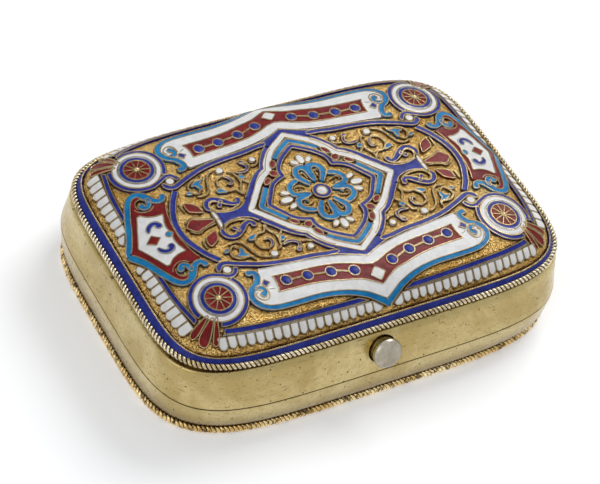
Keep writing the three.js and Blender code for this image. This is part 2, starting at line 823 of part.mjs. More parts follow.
// Long cartouches: a light-blue edge, white bands and a red strip between them
const cartoucheBlue = [
  [0, 30.9], [2, 30.6], [4, 29.6], [6, 28.85], [8, 28.25], [10, 27.75], [12, 27.4], [16, 27.1],
  [20, 27.05], [24, 26.85], [26, 26.5], [27.5, 26], [28.7, 25], [29.2, 23.8], [29.3, 22.6], [28.8, 21.6],
  [28, 20.8], [27, 20.1], [26.3, 19.2], [25.8, 18.2], [25.6, 17.2], [25.9, 16.4], [26.6, 15.9],
  [27.3, 16.1],
];
const cartoucheOuterWhite = [
  [0, 31], [4, 29.2], [8, 27.9], [12, 27], [16, 26.7], [20, 26.6], [24.5, 26.4], [26.3, 25],
];
const cartoucheRedOuter = [
  [0, 28.4], [4, 26.2], [8, 25.2], [12, 24.2], [16, 23.75], [20, 23.55], [23.3, 23.4],
];
const cartoucheRedInner = [
  [0, 23.2], [4, 21.9], [8, 20.6], [12, 20.1], [16, 19.8], [20, 19.5], [22.6, 19.2],
];
const cartoucheInner = [
  [0, 21.2], [4, 19.5], [8, 18.6], [12, 17.9], [16, 17.4], [20, 16.9], [24.6, 16.8], [25.6, 19],
];
const cartoucheEnd = [[23.2, 23.6], [26.5, 25.2], [25.8, 19], [22.4, 19]];
const cartoucheBeads = [[4.75, 23.7], [9.85, 22.35], [15.2, 21.6], [20.25, 21.2]];
const beadRadius = 0.95;
const beadStand = 0.1;
for (const side of longSides) {
  const facing = (points) => turnedTo(mirroredX(points), 1, side.y);
  const outerBand = [...facing(cartoucheOuterWhite), ...facing(cartoucheRedOuter).reverse()];
  const redStrip = [...facing(cartoucheRedOuter), ...facing(cartoucheRedInner).reverse()];
  const innerBand = [...facing(cartoucheRedInner), ...facing(cartoucheInner).reverse()];
  const blueEdge = line(facing(cartoucheBlue));
  const pieces = [field(outerBand), field(redStrip, sunk), field(innerBand), blueEdge];
  for (const half of halves) {
    pieces.push(field(turnedTo(cartoucheEnd, half.x, side.y)));
    for (const [x, y] of cartoucheBeads) {
      pieces.push(disc(half.x * x, side.y * y, beadRadius, beadStand, coarseSides));
    }
  }
  layEnamel(`long_cartouche_${side.name}`, pieces, white);
}

// Side cartouches: a light-blue edge round a red field with a white shield
const sideBlue = [
  [46.9, 0.3], [46, 2.3], [45.2, 4.1], [44.5, 6], [43.8, 8], [43, 10], [42.2, 11.7], [41.3, 12.7],
  [40.3, 13.1], [39.3, 13.0], [38.5, 12.5], [37.9, 11.7], [37.4, 10.9], [36.6, 10], [35.5, 9.5],
  [34.4, 9.7],
];
const sideField = [
  [45.4, 2], [44.6, 4.4], [43.2, 6.8], [42.3, 9.2], [41.4, 11.6], [40.2, 12.6], [39, 12.6],
  [37.6, 10.8], [36.6, 9.6], [34.9, 8.6], [35.6, 6], [36, 3], [36.2, 1],
];
const sideShield = [
  [43.6, 2.2], [42.8, 4.2], [41.7, 7.2], [41.2, 7.5], [39.8, 6.4], [38.6, 5.85], [36.7, 5.4],
  [37.5, 3], [37.5, 1.3],
];
const shieldStand = 0.1;
for (const half of halves) {
  const facing = (points) => turnedTo(mirroredY(points), half.x, 1);
  const pieces = [field(facing(sideField), sunk), field(facing(sideShield), shieldStand)];
  for (const sign of [-1, 1]) {
    pieces.push(line(turnedTo(sideBlue, half.x, sign)));
  }
  layEnamel(`side_cartouche_${half.name}`, pieces, red);
}

// Oval lines that close the side fields
const ovalLine = [
  [35.4, 1.6], [35.1, 3.2], [34.6, 4.8], [33.8, 6.6], [33, 8.2], [32, 9.7], [31.2, 10.8],
];
for (const half of halves) {
  const oval = line(turnedTo(mirroredY(ovalLine), half.x, 1), thinLineWidth);
  layEnamel(`oval_line_${half.name}`, [oval], cobalt);
}

// Cobalt strapwork that joins the roundels, thickest over the medallion
const strap = [
  [5, 17.7], [8, 17.35], [10, 17.05], [12, 16.75], [16, 16.3], [20, 15.85], [22, 15.4], [24, 14.9],
  [26, 14.1], [28, 13.3], [29.5, 12.6], [30.5, 12.2], [31.5, 12.25], [32.3, 12.9], [32.75, 13.9],
  [32.9, 15],
];
const strapTop = [[0, 20.7], [2, 20], [4, 18.95], [5.6, 18.1]];
const strapUnder = [[0, 19.95], [2, 18.6], [4, 17.35], [5.2, 17.25]];
for (const side of longSides) {
  const facing = (points) => turnedTo(mirroredX(points), 1, side.y);
  const pieces = [field([...facing(strapTop), ...facing(strapUnder).reverse()])];
  for (const half of halves) {
    pieces.push(line(turnedTo(strap, half.x, side.y), thinLineWidth));
  }
  layEnamel(`cobalt_strap_${side.name}`, pieces, cobalt);
}

// Pointed medallion frame in the middle
const medallionOuter = [
  [0, 19.4], [2, 18.05], [4, 16.7], [5.5, 16.5], [6.95, 15.4], [8, 14.2], [9.3, 11.9], [9.9, 10.8],
  [11.1, 10.25], [13.3, 8.35], [15.4, 5.85], [17.4, 3.3], [19.6, 0],
];
const medallionInner = [
  [0, 14.4], [1, 13.95], [3.3, 12.1], [4.9, 10.5], [5.7, 9.2], [5.95, 7.9], [5.9, 6.6], [7.2, 6.25],
  [8.8, 5.4], [10.2, 4.05], [11.55, 1.9], [12.75, 0],
];
const medallionWhite = [
  [0, 18.6], [4, 16], [5.5, 14.9], [7, 13.2], [8.3, 10.8], [9, 9.8], [10.3, 9], [12.7, 6.6], [15, 3.5],
  [17.7, 0],
];
const medallionWhiteWidth = 1.3;
layEnamel("medallion_frame", [
  framed(mirroredRound(medallionOuter), mirroredRound(medallionInner), backing),
  loop(mirroredRound(medallionWhite), medallionWhiteWidth),
], cobalt);

// Flower in the medallion: four lobes on a ring
const lobe = [
  [1.0, 5.2], [0.6, 7], [1, 8.3], [2, 8.5], [3, 8.1], [3.6, 7.2], [3.7, 6.2], [3.6, 5], [4.8, 4.8],
  [6, 4.4], [6.8, 3.5], [7.0, 2.4], [6.8, 1.3], [6.0, 0.9], [4.4, 1.1],
];
const flowerStem = [[3.7, 5], [1.1, 1.5]];
const flowerCore = 2.1;
const flowerPieces = [disc(0, 0, flowerCore)];
for (const corner of corners) {
  flowerPieces.push(line(turnedTo(lobe, corner.x, corner.y), thinLineWidth));
  flowerPieces.push(line(turnedTo(flowerStem, corner.x, corner.y), thinLineWidth));
}
layEnamel("medallion_flower", flowerPieces, turquoise);

// Bells and red spades on the long axis of the side fields
const bell = [
  [20.4, 0.9], [21, 1.15], [23, 1.1], [24.5, 1.4], [26.5, 2.1], [26.5, 0.5], [27.4, 0.5], [29, 0.9],
  [30.5, 1.3], [31.6, 1.8], [32.6, 1.2], [33.6, 0],
];
for (const half of halves) {
  layEnamel(`bell_and_spade_${half.name}`, [field(turnedTo(mirroredY(bell), half.x, 1))], cobalt);
}

// Scrolls of the side fields: a blue S beside the bell, and the leafy branch above it
const sScroll = [
  [19.3, 4.4], [19.2, 3.3], [20, 2.9], [21, 3.3], [22, 4.1], [23, 5], [24, 5.7], [25, 5.9], [26, 5.5],
  [26.8, 4.6], [28.2, 4.3],
];
const redLeaf = [
  [28.1, 3.2], [28.1, 5.2], [28.9, 5.9], [30.6, 6.6], [31.1, 5.5], [30.9, 4.1], [29.5, 3.6],
];
const branch = [
  [17, 4.8], [17.3, 6], [16.9, 7.3], [16.3, 8.4], [16.2, 10], [16.7, 11.8], [18, 12.5], [19.4, 12.2],
  [20.6, 12.9], [22, 13], [23, 11.4], [23.6, 9.5], [24.3, 8.1], [25.6, 7.6], [27.2, 8.1], [28.4, 9.2],
];
const branchLeaf = [
  [23.4, 12.4], [25, 12.2], [26, 11.9], [27.2, 11], [26.1, 10.7], [25.4, 9.4], [24.4, 9.6], [23.3, 11],
];
const branchTip = [[27.6, 8.7], [28.3, 9.8], [29.4, 9.5], [28.7, 8.5]];
for (const corner of corners) {
  layEnamel(`blue_scroll_${corner.name}`, [
    line(turnedTo(sScroll, corner.x, corner.y), thinLineWidth),
    field(turnedTo(redLeaf, corner.x, corner.y)),
  ], cobalt);
  layEnamel(`leafy_branch_${corner.name}`, [
    line(turnedTo(branch, corner.x, corner.y), wireWidth),
    field(turnedTo(branchLeaf, corner.x, corner.y)),
    field(turnedTo(branchTip, corner.x, corner.y)),
  ], turquoise);
}

export default enamelCase;
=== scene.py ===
"""Scene of a silver-gilt pocket case with an enamelled lid.

Lengths are in millimetres up to the moment a mesh is made, and in metres from there on.
The case lies along X, its button faces -Y and its enamelled lid faces +Z.
"""
import math

import bmesh
import bpy
import numpy as np
from mathutils import Matrix, Vector, kdtree, noise
from mathutils.geometry import delaunay_2d_cdt


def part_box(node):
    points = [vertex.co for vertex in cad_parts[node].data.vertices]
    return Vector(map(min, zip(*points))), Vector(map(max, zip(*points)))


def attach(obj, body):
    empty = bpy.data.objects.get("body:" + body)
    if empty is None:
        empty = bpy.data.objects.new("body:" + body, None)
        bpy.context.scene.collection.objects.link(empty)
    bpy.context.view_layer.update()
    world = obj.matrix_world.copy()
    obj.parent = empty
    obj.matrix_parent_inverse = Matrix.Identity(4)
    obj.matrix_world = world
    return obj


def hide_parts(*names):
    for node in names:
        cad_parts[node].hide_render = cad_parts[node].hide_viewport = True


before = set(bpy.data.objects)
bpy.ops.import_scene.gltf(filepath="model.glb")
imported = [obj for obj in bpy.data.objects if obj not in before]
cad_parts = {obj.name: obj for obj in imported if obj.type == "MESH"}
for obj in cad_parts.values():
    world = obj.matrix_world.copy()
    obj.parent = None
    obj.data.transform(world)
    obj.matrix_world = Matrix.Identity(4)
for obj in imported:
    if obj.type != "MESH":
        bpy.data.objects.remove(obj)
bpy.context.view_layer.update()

MM = 0.001


def box_mm(node):
    """The low and high corners of a CAD piece."""
    low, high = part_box(node)
    return Vector(low) / MM, Vector(high) / MM


# Sizes read from the frame
SEAM_HALF_LENGTH = box_mm("lid_shell")[1].x
SEAM_HALF_WIDTH = box_mm("lid_shell")[1].y
SEAM_HEIGHT = box_mm("hinge_pin")[0].z / 2 + box_mm("hinge_pin")[1].z / 2
CASE_HEIGHT = box_mm("medallion_flower")[1].z
SEAM_ROUNDNESS = 4.92

# Crown of the lid: flat in the middle, dropping at the edge
CROWN_INSET = (1.14, 3.36)
CROWN_RISE = 9.15
CROWN_STEEPNESS = 9.42
CROWN_ROUNDNESS = 5.58
CROWN_HALF_LENGTH = SEAM_HALF_LENGTH - CROWN_INSET[0]
CROWN_HALF_WIDTH = SEAM_HALF_WIDTH - CROWN_INSET[1]

# The enamel pattern is drawn in one quarter, with x and y positive, in millimetres
CORNERS = {
    "front_left": (-1, -1),
    "front_right": (1, -1),
    "rear_left": (-1, 1),
    "rear_right": (1, 1),
}
HALVES = {"left": -1, "right": 1}
LONG_SIDES = {"front": -1, "rear": 1}

# Wires, enamel and how finely things are drawn
WIRE = 0.16
FINE_WIRE = 0.125
WIRE_STEP = 0.13
WIRE_SIDES = 6
STRAND_SHARE = 0.26
TWIST_LENGTH = 0.42
NO_TWIST = 1e6
ENAMEL_DEPTH = 0.55
GROUND_DEPTH = 0.5
CURVE_STEP = 0.35
FINE_STEP = 0.25
BAND_COLUMNS = 4
AXIS_CLEARANCE = 0.16
RING_POINTS = 360

# Sizes of the walls, the hinge and the button
WALL = 1.2
LID_EDGE = SEAM_HEIGHT + 0.15
BASE_EDGE = SEAM_HEIGHT - 0.15
LIP_SOFTENING = 0.08
# How dark the painted shade on the lips at the seam is.
LIP_SHADE = 0.6
PLAQUE_EDGE_INSET = (1.18, 0.4)
PLAQUE_ROUNDNESS = 6
PLAQUE_BOTTOM = 1.7
DECK_TOP = 2.15
DECK_BOTTOM = DECK_TOP + WALL
BASE_FLOOR_BOTTOM = 1.3
BASE_FLOOR_TOP = 2.4
HINGE_Y = SEAM_HALF_WIDTH + 1.05
KNUCKLE_COUNT = 5
KNUCKLE_RADIUS = 1.2
KNUCKLE_BORE = 0.75
KNUCKLE_LENGTH = 9.0
KNUCKLE_GAP = 0.3
HINGE_SPAN = KNUCKLE_COUNT * KNUCKLE_LENGTH + (KNUCKLE_COUNT - 1) * KNUCKLE_GAP
HINGE_CLEARANCE = 0.3
PIN_RADIUS = 0.45
BUTTON_LEAN = math.radians(20)
BUTTON_RADIUS = 3.15
BUTTON_X, BUTTON_Z = -2.3, 15.0
BUTTON_Y = -(SEAM_HALF_WIDTH - 1.615)


# Plane curves

def soft_curve(before, start, end, after, share):
    """A place on the soft curve from start to end, by the points before and after them."""
    return 0.5 * (
        2 * start + (end - before) * share
        + (2 * before - 5 * start + 4 * end - after) * share ** 2
        + (3 * start - before - 3 * end + after) * share ** 3
    )


def with_ends(points):
    """The run with one more point past each end, in the direction of its last step."""
    return np.vstack([2 * points[0] - points[1], points, 2 * points[-1] - points[-2]])


def smooth(points, step=CURVE_STEP, closed=False):
    """An even run of points along a soft curve through the given ones."""
    points = np.array(points, dtype=float)
    ring = np.vstack([points[-1], points, points[:2]]) if closed else with_ends(points)
    share = np.linspace(0, 1, 12, endpoint=False)[:, None]
    pieces = [soft_curve(*ring[index - 1:index + 3], share) for index in range(1, len(ring) - 2)]
    run = evenly(np.vstack([*pieces, ring[-2][None]]), step)
    return run[:-1] if closed else run


def evenly(points, step=CURVE_STEP, count=None):
    """Points at equal distances along a run."""
    points = np.array(points, dtype=float)
    lengths = np.hypot(*np.diff(points[:, :2], axis=0).T)
    travelled = np.concatenate([[0], np.cumsum(lengths)])
    if count is None:
        count = max(2, int(round(travelled[-1] / step)) + 1)
    stops = np.linspace(0, travelled[-1], count)
    return np.column_stack([np.interp(stops, travelled, column) for column in points.T])


def even_loop(points, step=CURVE_STEP, count=None):
    """A closed outline at equal distances, without its first point again at the end."""
    return evenly(np.vstack([points, points[:1]]), step, count and count + 1)[:-1]


def joined(*runs):
    """Runs laid end to end, each soft in itself, with corners where they meet."""
    return np.vstack([run if index == 0 else run[1:] for index, run in enumerate(runs)])


def turned(points, sign_x, sign_y):
    """The points in the mirror image that two signs stand for."""
    points = np.array(points, dtype=float)
    points[:, 0] *= sign_x
    points[:, 1] *= sign_y
    return points


def mirrored_x(points):
    """The run and its mirror image in the Y axis, on which it starts."""
    return np.vstack([turned(points, -1, 1)[::-1], points[1:]])


def mirrored_y(points):
    """The run and its mirror image in the X axis, on which it starts."""
    return np.vstack([turned(points, 1, -1)[::-1], points[1:]])


def mirrored_loop(points):
    """A closed loop from its rear half, which starts and ends on the X axis."""
    return np.vstack([points, turned(points[1:-1], 1, -1)[::-1]])


def mirrored_round(points):
    """A closed loop from its quarter, which runs from the Y axis to the X axis."""
    return mirrored_loop(mirrored_x(points))


def circle(x, y, radius, step=CURVE_STEP, stretch=1.0):
    """An even closed run round a centre, stretched along Y."""
    count = max(10, int(round(2 * math.pi * radius / step)))
    angles = np.linspace(0, 2 * math.pi, count, endpoint=False)
    return np.column_stack([x + radius * np.cos(angles), y + radius * stretch * np.sin(angles)])


def rounded_outline(half_length, half_width, roundness, step=CURVE_STEP):
    """The case's rounded outline as an even closed run, without its last point."""
    angles = np.linspace(0, 2 * math.pi, 4001)
    cosine, sine = np.cos(angles), np.sin(angles)
    x = half_length * np.sign(cosine) * np.abs(cosine) ** (2 / roundness)
    y = half_width * np.sign(sine) * np.abs(sine) ** (2 / roundness)
    return evenly(np.column_stack([x, y]), step)[:-1]


def beside(points, offset, closed=False):
    """The run moved sideways, to its left where offset is positive."""
    points = np.array(points, dtype=float)[:, :2]
    if closed:
        along = np.roll(points, -1, axis=0) - np.roll(points, 1, axis=0)
    else:
        along = np.gradient(points, axis=0)
    along /= np.maximum(np.hypot(*along.T), 1e-9)[:, None]
    return points + np.reshape(offset, (-1, 1)) * np.column_stack([-along[:, 1], along[:, 0]])


def clear_of_axes(outline):
    """The open runs of a closed outline that keep clear of both axes."""
    kept = np.all(outline > AXIS_CLEARANCE, axis=1)
    if kept.all():
        return [np.vstack([outline, outline[:1]])]
    start = int(np.argmin(kept))
    outline, kept = np.roll(outline, -start, axis=0), np.roll(kept, -start)
    changes = np.flatnonzero(np.diff(kept.astype(int))) + 1
    return [run for run in np.split(outline, changes)[1::2] if len(run) > 3]


# The crown

def on_crown(x, y, lift=0.0):
    """Points over (x, y) on the crown, lifted off it along its own normal."""
    x, y, lift = np.broadcast_arrays(*(np.asarray(value, dtype=float) for value in (x, y, lift)))
    power = CROWN_ROUNDNESS
    reach_x = (np.abs(x) / CROWN_HALF_LENGTH) ** power
    reach_y = (np.abs(y) / CROWN_HALF_WIDTH) ** power
    level = np.maximum((reach_x + reach_y) ** (1 / power), 1e-6)
    fall = CROWN_RISE * CROWN_STEEPNESS * level ** (CROWN_STEEPNESS - power)
    slope_x = fall * np.sign(x) * np.abs(x) ** (power - 1) / CROWN_HALF_LENGTH ** power
    slope_y = fall * np.sign(y) * np.abs(y) ** (power - 1) / CROWN_HALF_WIDTH ** power
    length = np.sqrt(slope_x ** 2 + slope_y ** 2 + 1)
    height = CASE_HEIGHT - CROWN_RISE * level ** CROWN_STEEPNESS
    return np.stack(
        [x + lift * slope_x / length, y + lift * slope_y / length, height + lift / length], axis=-1,
    )


# Mesh building

wire_places = []


class Piece:
    """Collects faces in several finishes and turns them into one object.

    Its signs say which mirror image of the drawn quarter the enamel and wires are set in.
    """

    def __init__(self, name, signs=(1, 1)):
        self.name = name
        self.signs = signs
        self.points = []
        self.painted_shades = []
        self.faces = []
        self.finishes = []
        self.face_finishes = []
        self.count = 0

    def add(self, points, faces, finish, painted_shade=0.0):
        if finish not in self.finishes:
            self.finishes.append(finish)
        self.points.append(np.asarray(points, dtype=float).reshape(-1, 3))
        self.faces.extend(tuple(corner + self.count for corner in face) for face in faces)
        self.face_finishes.extend([self.finishes.index(finish)] * len(faces))
        self.count += len(self.points[-1])
        self.painted_shades.append(np.broadcast_to(np.ravel(painted_shade), len(self.points[-1])))

    def grid(self, rows, finish, closed=False, round_section=False, painted_shade=0.0):
        """Rows of points, one after another, joined by quads."""
        rows = np.asarray(rows, dtype=float)
        row_count, column_count = rows.shape[:2]
        faces = []
        for row in range(row_count if closed else row_count - 1):
            below = (row + 1) % row_count
            for column in range(column_count if round_section else column_count - 1):
                right = (column + 1) % column_count
                faces.append((
                    row * column_count + column,
                    below * column_count + column,
                    below * column_count + right,
                    row * column_count + right,
                ))
        self.add(rows, faces, finish, painted_shade)

    def cap(self, start, count, finish, flip=False):
        """One face over a ring of points that the piece already has."""
        face = tuple(range(start, start + count))
        self.faces.append(face[::-1] if flip else face)
        self.face_finishes.append(self.finishes.index(finish))

    def build(self, body, slot, *nodes, sharp=40, weld=False):
        mesh = bpy.data.meshes.new(self.name)
        mesh.from_pydata((np.vstack(self.points) * MM).tolist(), [], self.faces)
        for finish in self.finishes:
            mesh.materials.append(finish)
        mesh.polygons.foreach_set("material_index", self.face_finishes)
        mesh.polygons.foreach_set("use_smooth", [True] * len(mesh.polygons))
        # Painted shade per point, 0 to 1, that the finishes mix in: clefts of wires and ropes, the seam
        # and the ground beside the wires.
        layer = mesh.attributes.new("painted_shade", "FLOAT", "POINT")
        layer.data.foreach_set("value", np.concatenate(self.painted_shades))
        if weld:
            body_mesh = bmesh.new()
            body_mesh.from_mesh(mesh)
            bmesh.ops.remove_doubles(body_mesh, verts=body_mesh.verts, dist=1e-7)
            body_mesh.to_mesh(mesh)
            body_mesh.free()
        mesh.validate()
        mesh.update()
        mesh.set_sharp_from_angle(angle=math.radians(sharp))
        piece = bpy.data.objects.new(self.name, mesh)
        bpy.context.scene.collection.objects.link(piece)
        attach(piece, body)
        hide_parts(*nodes)
        return piece


def band(piece, one_edge, other_edge, finish, swell=-0.05, closed=False, lift=0.0):
    """Enamel between two edges. Its face swells or dips, and its sides go down to the ground."""
    one_edge, other_edge = turned(one_edge, *piece.signs), turned(other_edge, *piece.signs)
    if len(one_edge) != len(other_edge):
        count = max(len(one_edge), len(other_edge))
        one_edge, other_edge = evenly(one_edge, count=count), evenly(other_edge, count=count)
    shares = np.concatenate([[0], np.linspace(0, 1, BAND_COLUMNS + 1), [1]])
    heights = lift + swell * 4 * shares * (1 - shares)
    heights[0] = heights[-1] = -ENAMEL_DEPTH
    share = shares[None, :, None]
    flat = one_edge[:, None] * (1 - share) + other_edge[:, None] * share
    rows = on_crown(flat[..., 0], flat[..., 1], heights[None, :])
    run, across = np.diff(flat[:, 1], axis=0), flat[:-1, -2] - flat[:-1, 1]
    area = np.sum(run[:, 0] * across[:, 1] - run[:, 1] * across[:, 0])
    piece.grid(rows if area > 0 else rows[:, ::-1], finish, closed)


def ribbon(piece, centre, width, finish, closed=False, lift=0.0):
    """A line of enamel with a wire along both edges. Its points may carry their own widths."""
    if centre.shape[1] == 3:
        width = centre[:, 2]
    left = beside(centre, width / 2, closed)
    right = beside(centre, -width / 2, closed)
    band(piece, left, right, finish, closed=closed, lift=lift)
    for edge in (left, right):
        wire(piece, edge, closed=closed, metal=pale_wire)


def distance_to_rim(points, rim):
    """Least distance from each point to a closed outline."""
    start = rim[None]
    along = np.roll(rim, -1, axis=0)[None] - start
    offset = points[:, None] - start
    share = np.sum(offset * along, axis=2) / np.maximum(np.sum(along ** 2, axis=2), 1e-12)
    share = np.clip(share, 0, 1)
    return np.sqrt(np.min(np.sum((offset - share[..., None] * along) ** 2, axis=2), axis=1))


def inside(points, rim):
    """Which points lie within a closed outline."""
    x, y = points[:, 0][:, None], points[:, 1][:, None]
    x0, y0 = rim[:, 0][None], rim[:, 1][None]
    x1, y1 = np.roll(rim, -1, axis=0).T[:, None]
    crossing = (y0 > y) != (y1 > y)
    reach = (x1 - x0) * (y - y0) / np.where(y1 == y0, 1e-12, y1 - y0) + x0
    return np.sum(crossing & (x < reach), axis=1) % 2 == 1


def field(piece, rim, finish, swell=-0.06, lift=0.0, grain=0.55, edges=0.0, metal=None):
    """An enamelled field inside a closed outline, with an even fill of inner points."""
    drawn, rim = rim, turned(rim, *piece.signs)
    low, high = rim.min(axis=0), rim.max(axis=0)
    xs = np.arange(low[0] + grain / 2, high[0], grain)
    ys = np.arange(low[1] + grain / 2, high[1], grain)
    inner = np.array([(x, y) for y in ys for x in xs]).reshape(-1, 2)
    if len(inner):
        inner = inner[inside(inner, rim)]
    if len(inner):
        inner = inner[distance_to_rim(inner, rim) > 0.35 * grain]
    flat = np.vstack([rim, inner]) if len(inner) else rim
    ring = list(range(len(rim)))
    corners, _, faces, *_ = delaunay_2d_cdt([Vector(point) for point in flat], [], [ring], 1, 1e-6)
    corners = np.array([tuple(corner) for corner in corners])
    reach = distance_to_rim(corners, rim)
    full = max(reach.max(), 1e-6)
    heights = lift + swell * (1 - (1 - np.minimum(reach / min(full, 0.8), 1)) ** 2)
    top = on_crown(corners[:, 0], corners[:, 1], heights)
    piece.add(top, [tuple(face) for face in faces], finish)
    area = 0.5 * np.sum(rim[:, 0] * np.roll(rim[:, 1], -1) - np.roll(rim[:, 0], -1) * rim[:, 1])
    wall = rim if area < 0 else rim[::-1]
    upper = on_crown(wall[:, 0], wall[:, 1], lift)
    lower = on_crown(wall[:, 0], wall[:, 1], -ENAMEL_DEPTH)
    piece.grid(np.stack([upper, lower], axis=1), finish, closed=True)
    if edges:
        wire(piece, drawn, edges, True, metal, lift)


def wire(piece, run, radius=FINE_WIRE, closed=False, metal=None, lift=0.0):
    """A wire of two twisted strands along a run on the crown."""
    run = turned(run, *piece.signs)
    run = even_loop(run, WIRE_STEP) if closed else evenly(run, WIRE_STEP)
    wire_places.extend(run[::2].tolist())
    centre = on_crown(run[:, 0], run[:, 1], lift)
    up = on_crown(run[:, 0], run[:, 1], lift + 1) - centre
    sweep(piece, centre, up, radius, closed, metal or gilt_wire, TWIST_LENGTH)


def sweep(piece, centre, up, radius, closed, finish, twist):
    """A tube along 3-D points whose two-lobed section turns as it goes, like twisted wire."""
    if closed:
        along = np.roll(centre, -1, axis=0) - np.roll(centre, 1, axis=0)
    else:
        along = np.gradient(centre, axis=0)
    along /= np.maximum(np.linalg.norm(along, axis=1), 1e-9)[:, None]
    across = np.cross(along, up)
    across /= np.maximum(np.linalg.norm(across, axis=1), 1e-9)[:, None]
    rise = np.cross(across, along)
    steps = np.linalg.norm(np.diff(centre, axis=0), axis=1)
    travelled = np.concatenate([[0], np.cumsum(steps)])
    if closed:
        whole = travelled[-1] + np.linalg.norm(centre[0] - centre[-1])
        twist = whole / max(1, round(whole / twist))
    phase = math.pi * travelled / twist
    angle = np.linspace(0, 2 * math.pi, WIRE_SIDES, endpoint=False)
    reach = radius * (1 + STRAND_SHARE * np.cos(2 * (angle[None] - phase[:, None])))
    rows = (
        centre[:, None]
        + across[:, None] * (reach * np.cos(angle)[None])[..., None]
        + rise[:, None] * (reach * np.sin(angle)[None])[..., None]
    )
    # Painted shade in the cleft between the two strands of a twisted wire.
    cleft_shade = 0.0
    if twist < NO_TWIST:
        cleft_shade = np.clip(0.55 - 0.62 * (reach / radius - 1) / STRAND_SHARE, 0, 1)
    piece.grid(rows, finish, closed, round_section=True, painted_shade=cleft_shade)
    if not closed:
        for row, order in ((0, 1), (len(rows) - 1, -1)):
            piece.add(rows[row], [tuple(range(WIRE_SIDES))[::order]], finish)


# Finishes

class Tree:
    """Short calls that add nodes to a tree and link them."""

    def __init__(self, tree):
        self.tree = tree

    def node(self, kind, inputs=None, **settings):
        node = self.tree.nodes.new(kind)
        for name, value in settings.items():
            setattr(node, name, value)
        for name, value in (inputs or {}).items():
            self.feed(node.inputs[name], value)
        return node

    def feed(self, socket, value):
        if isinstance(value, bpy.types.NodeSocket):
            self.tree.links.new(value, socket)
        else:
            socket.default_value = value

    def place(self, vector, turn=0.0, scale=(1, 1, 1)):
        return self.node(
            "ShaderNodeMapping",
            {"Vector": vector, "Rotation": (0, 0, math.radians(turn)), "Scale": scale},
        ).outputs[0]

    def noise(self, vector, scale, detail=3.0, roughness=0.55, distortion=0.0):
        inputs = {"Vector": vector, "Scale": scale, "Detail": detail}
        inputs |= {"Roughness": roughness, "Distortion": distortion}
        return self.node("ShaderNodeTexNoise", inputs).outputs["Fac"]

    def cells(self, vector, scale):
        return self.node("ShaderNodeTexVoronoi", {"Vector": vector, "Scale": scale}).outputs["Distance"]

    def step(self, value, low, high, start=0.0, end=1.0):
        inputs = {"Value": value, "From Min": low, "From Max": high, "To Min": start, "To Max": end}
        return self.node("ShaderNodeMapRange", inputs, interpolation_type="SMOOTHSTEP").outputs[0]

    def math(self, operation, first, second=0.0):
        node = self.node("ShaderNodeMath", operation=operation)
        self.feed(node.inputs[0], first)
        self.feed(node.inputs[1], second)
        return node.outputs[0]

    def sum(self, first, second):
        return self.math("ADD", first, second)

    def less(self, first, second):
        return self.math("SUBTRACT", first, second)

    def times(self, first, second):
        return self.math("MULTIPLY", first, second)

    def most(self, first, second):
        return self.math("MAXIMUM", first, second)

    def mix(self, share, first, second):
        node = self.node("ShaderNodeMix", data_type="RGBA")
        self.feed(node.inputs[0], share)
        self.feed(node.inputs[6], first)
        self.feed(node.inputs[7], second)
        return node.outputs[2]

    def bump(self, height, distance):
        return self.node("ShaderNodeBump", {"Height": height, "Distance": distance}).outputs[0]

    def attribute(self, name, output="Fac"):
        return self.node("ShaderNodeAttribute", attribute_name=name).outputs[output]


def rgb(red, green, blue):
    """A colour read off the screen, 0 to 255, as the linear colour that a shader takes."""
    shares = [channel / 255 for channel in (red, green, blue)]
    linear = [share / 12.92 if share <= 0.04045 else ((share + 0.055) / 1.055) ** 2.4 for share in shares]
    return (*linear, 1.0)


def effect(name, outputs, make):
    """A shared effect: it takes a place in millimetres and gives masks and heights."""
    group = bpy.data.node_groups.new(name, "ShaderNodeTree")
    group.interface.new_socket("Place", in_out="INPUT", socket_type="NodeSocketVector")
    for output in outputs:
        group.interface.new_socket(output, in_out="OUTPUT", socket_type="NodeSocketFloat")
    tree = Tree(group)
    entry = tree.node("NodeGroupInput")
    leave = tree.node("NodeGroupOutput")
    for output, value in zip(outputs, make(tree, entry.outputs[0])):
        tree.feed(leave.inputs[output], value)
    return group


def make_scratches(tree, place):
    """Long hairlines in several directions, in patches, and short deeper marks."""
    patch = tree.step(tree.noise(place, 0.09, 2), 0.35, 0.62)
    fine = 0.0
    for turn, pitch in ((8, 7.5), (-22, 6.0), (63, 7.0), (112, 8.5)):
        streaks = tree.noise(tree.place(place, turn, (0.22, pitch, 0.3)), 1.0, 2, 0.6)
        fine = tree.most(fine, tree.step(streaks, 0.66, 0.74))
    marks = 0.0
    for turn in (34, -55, 88):
        streaks = tree.noise(tree.place(place, turn, (0.42, 3.6, 0.3)), 1.0, 1, 0.5, 0.4)
        marks = tree.most(marks, tree.step(streaks, 0.71, 0.76))
    return tree.times(fine, patch), marks


def make_pits(tree, place):
    """Small round pits of two sizes, scattered in patches."""
    patch = tree.step(tree.noise(place, 0.16, 2), 0.38, 0.56)
    small = tree.step(tree.cells(place, 1.4), 0.1, 0.18, 1.0, 0.0)
    large = tree.step(tree.cells(tree.place(place, 20), 0.42), 0.07, 0.11, 1.0, 0.0)
    return tree.most(tree.times(small, patch), large),


def make_clouds(tree, place):
    """Broad soft clouds, and finer mottling over them."""
    return tree.noise(place, 0.075, 3, 0.6, 0.6), tree.noise(place, 0.9, 4, 0.65, 0.3)


def make_stipple(tree, place):
    """A ground struck with a small round punch: dimples with raised rims, and a mask of painted shade in
    the dimples.
    """
    wobble = tree.noise(place, 1.4, 3, 0.6)
    dimples = tree.cells(place, 3.3)
    grains = tree.cells(tree.place(place, 35), 5.2)
    height = tree.sum(tree.step(dimples, 0.08, 0.62), tree.times(grains, 0.5))
    height = tree.sum(height, tree.times(wobble, 0.5))
    return height, tree.step(dimples, 0.12, 0.5, 1.0, 0.0)


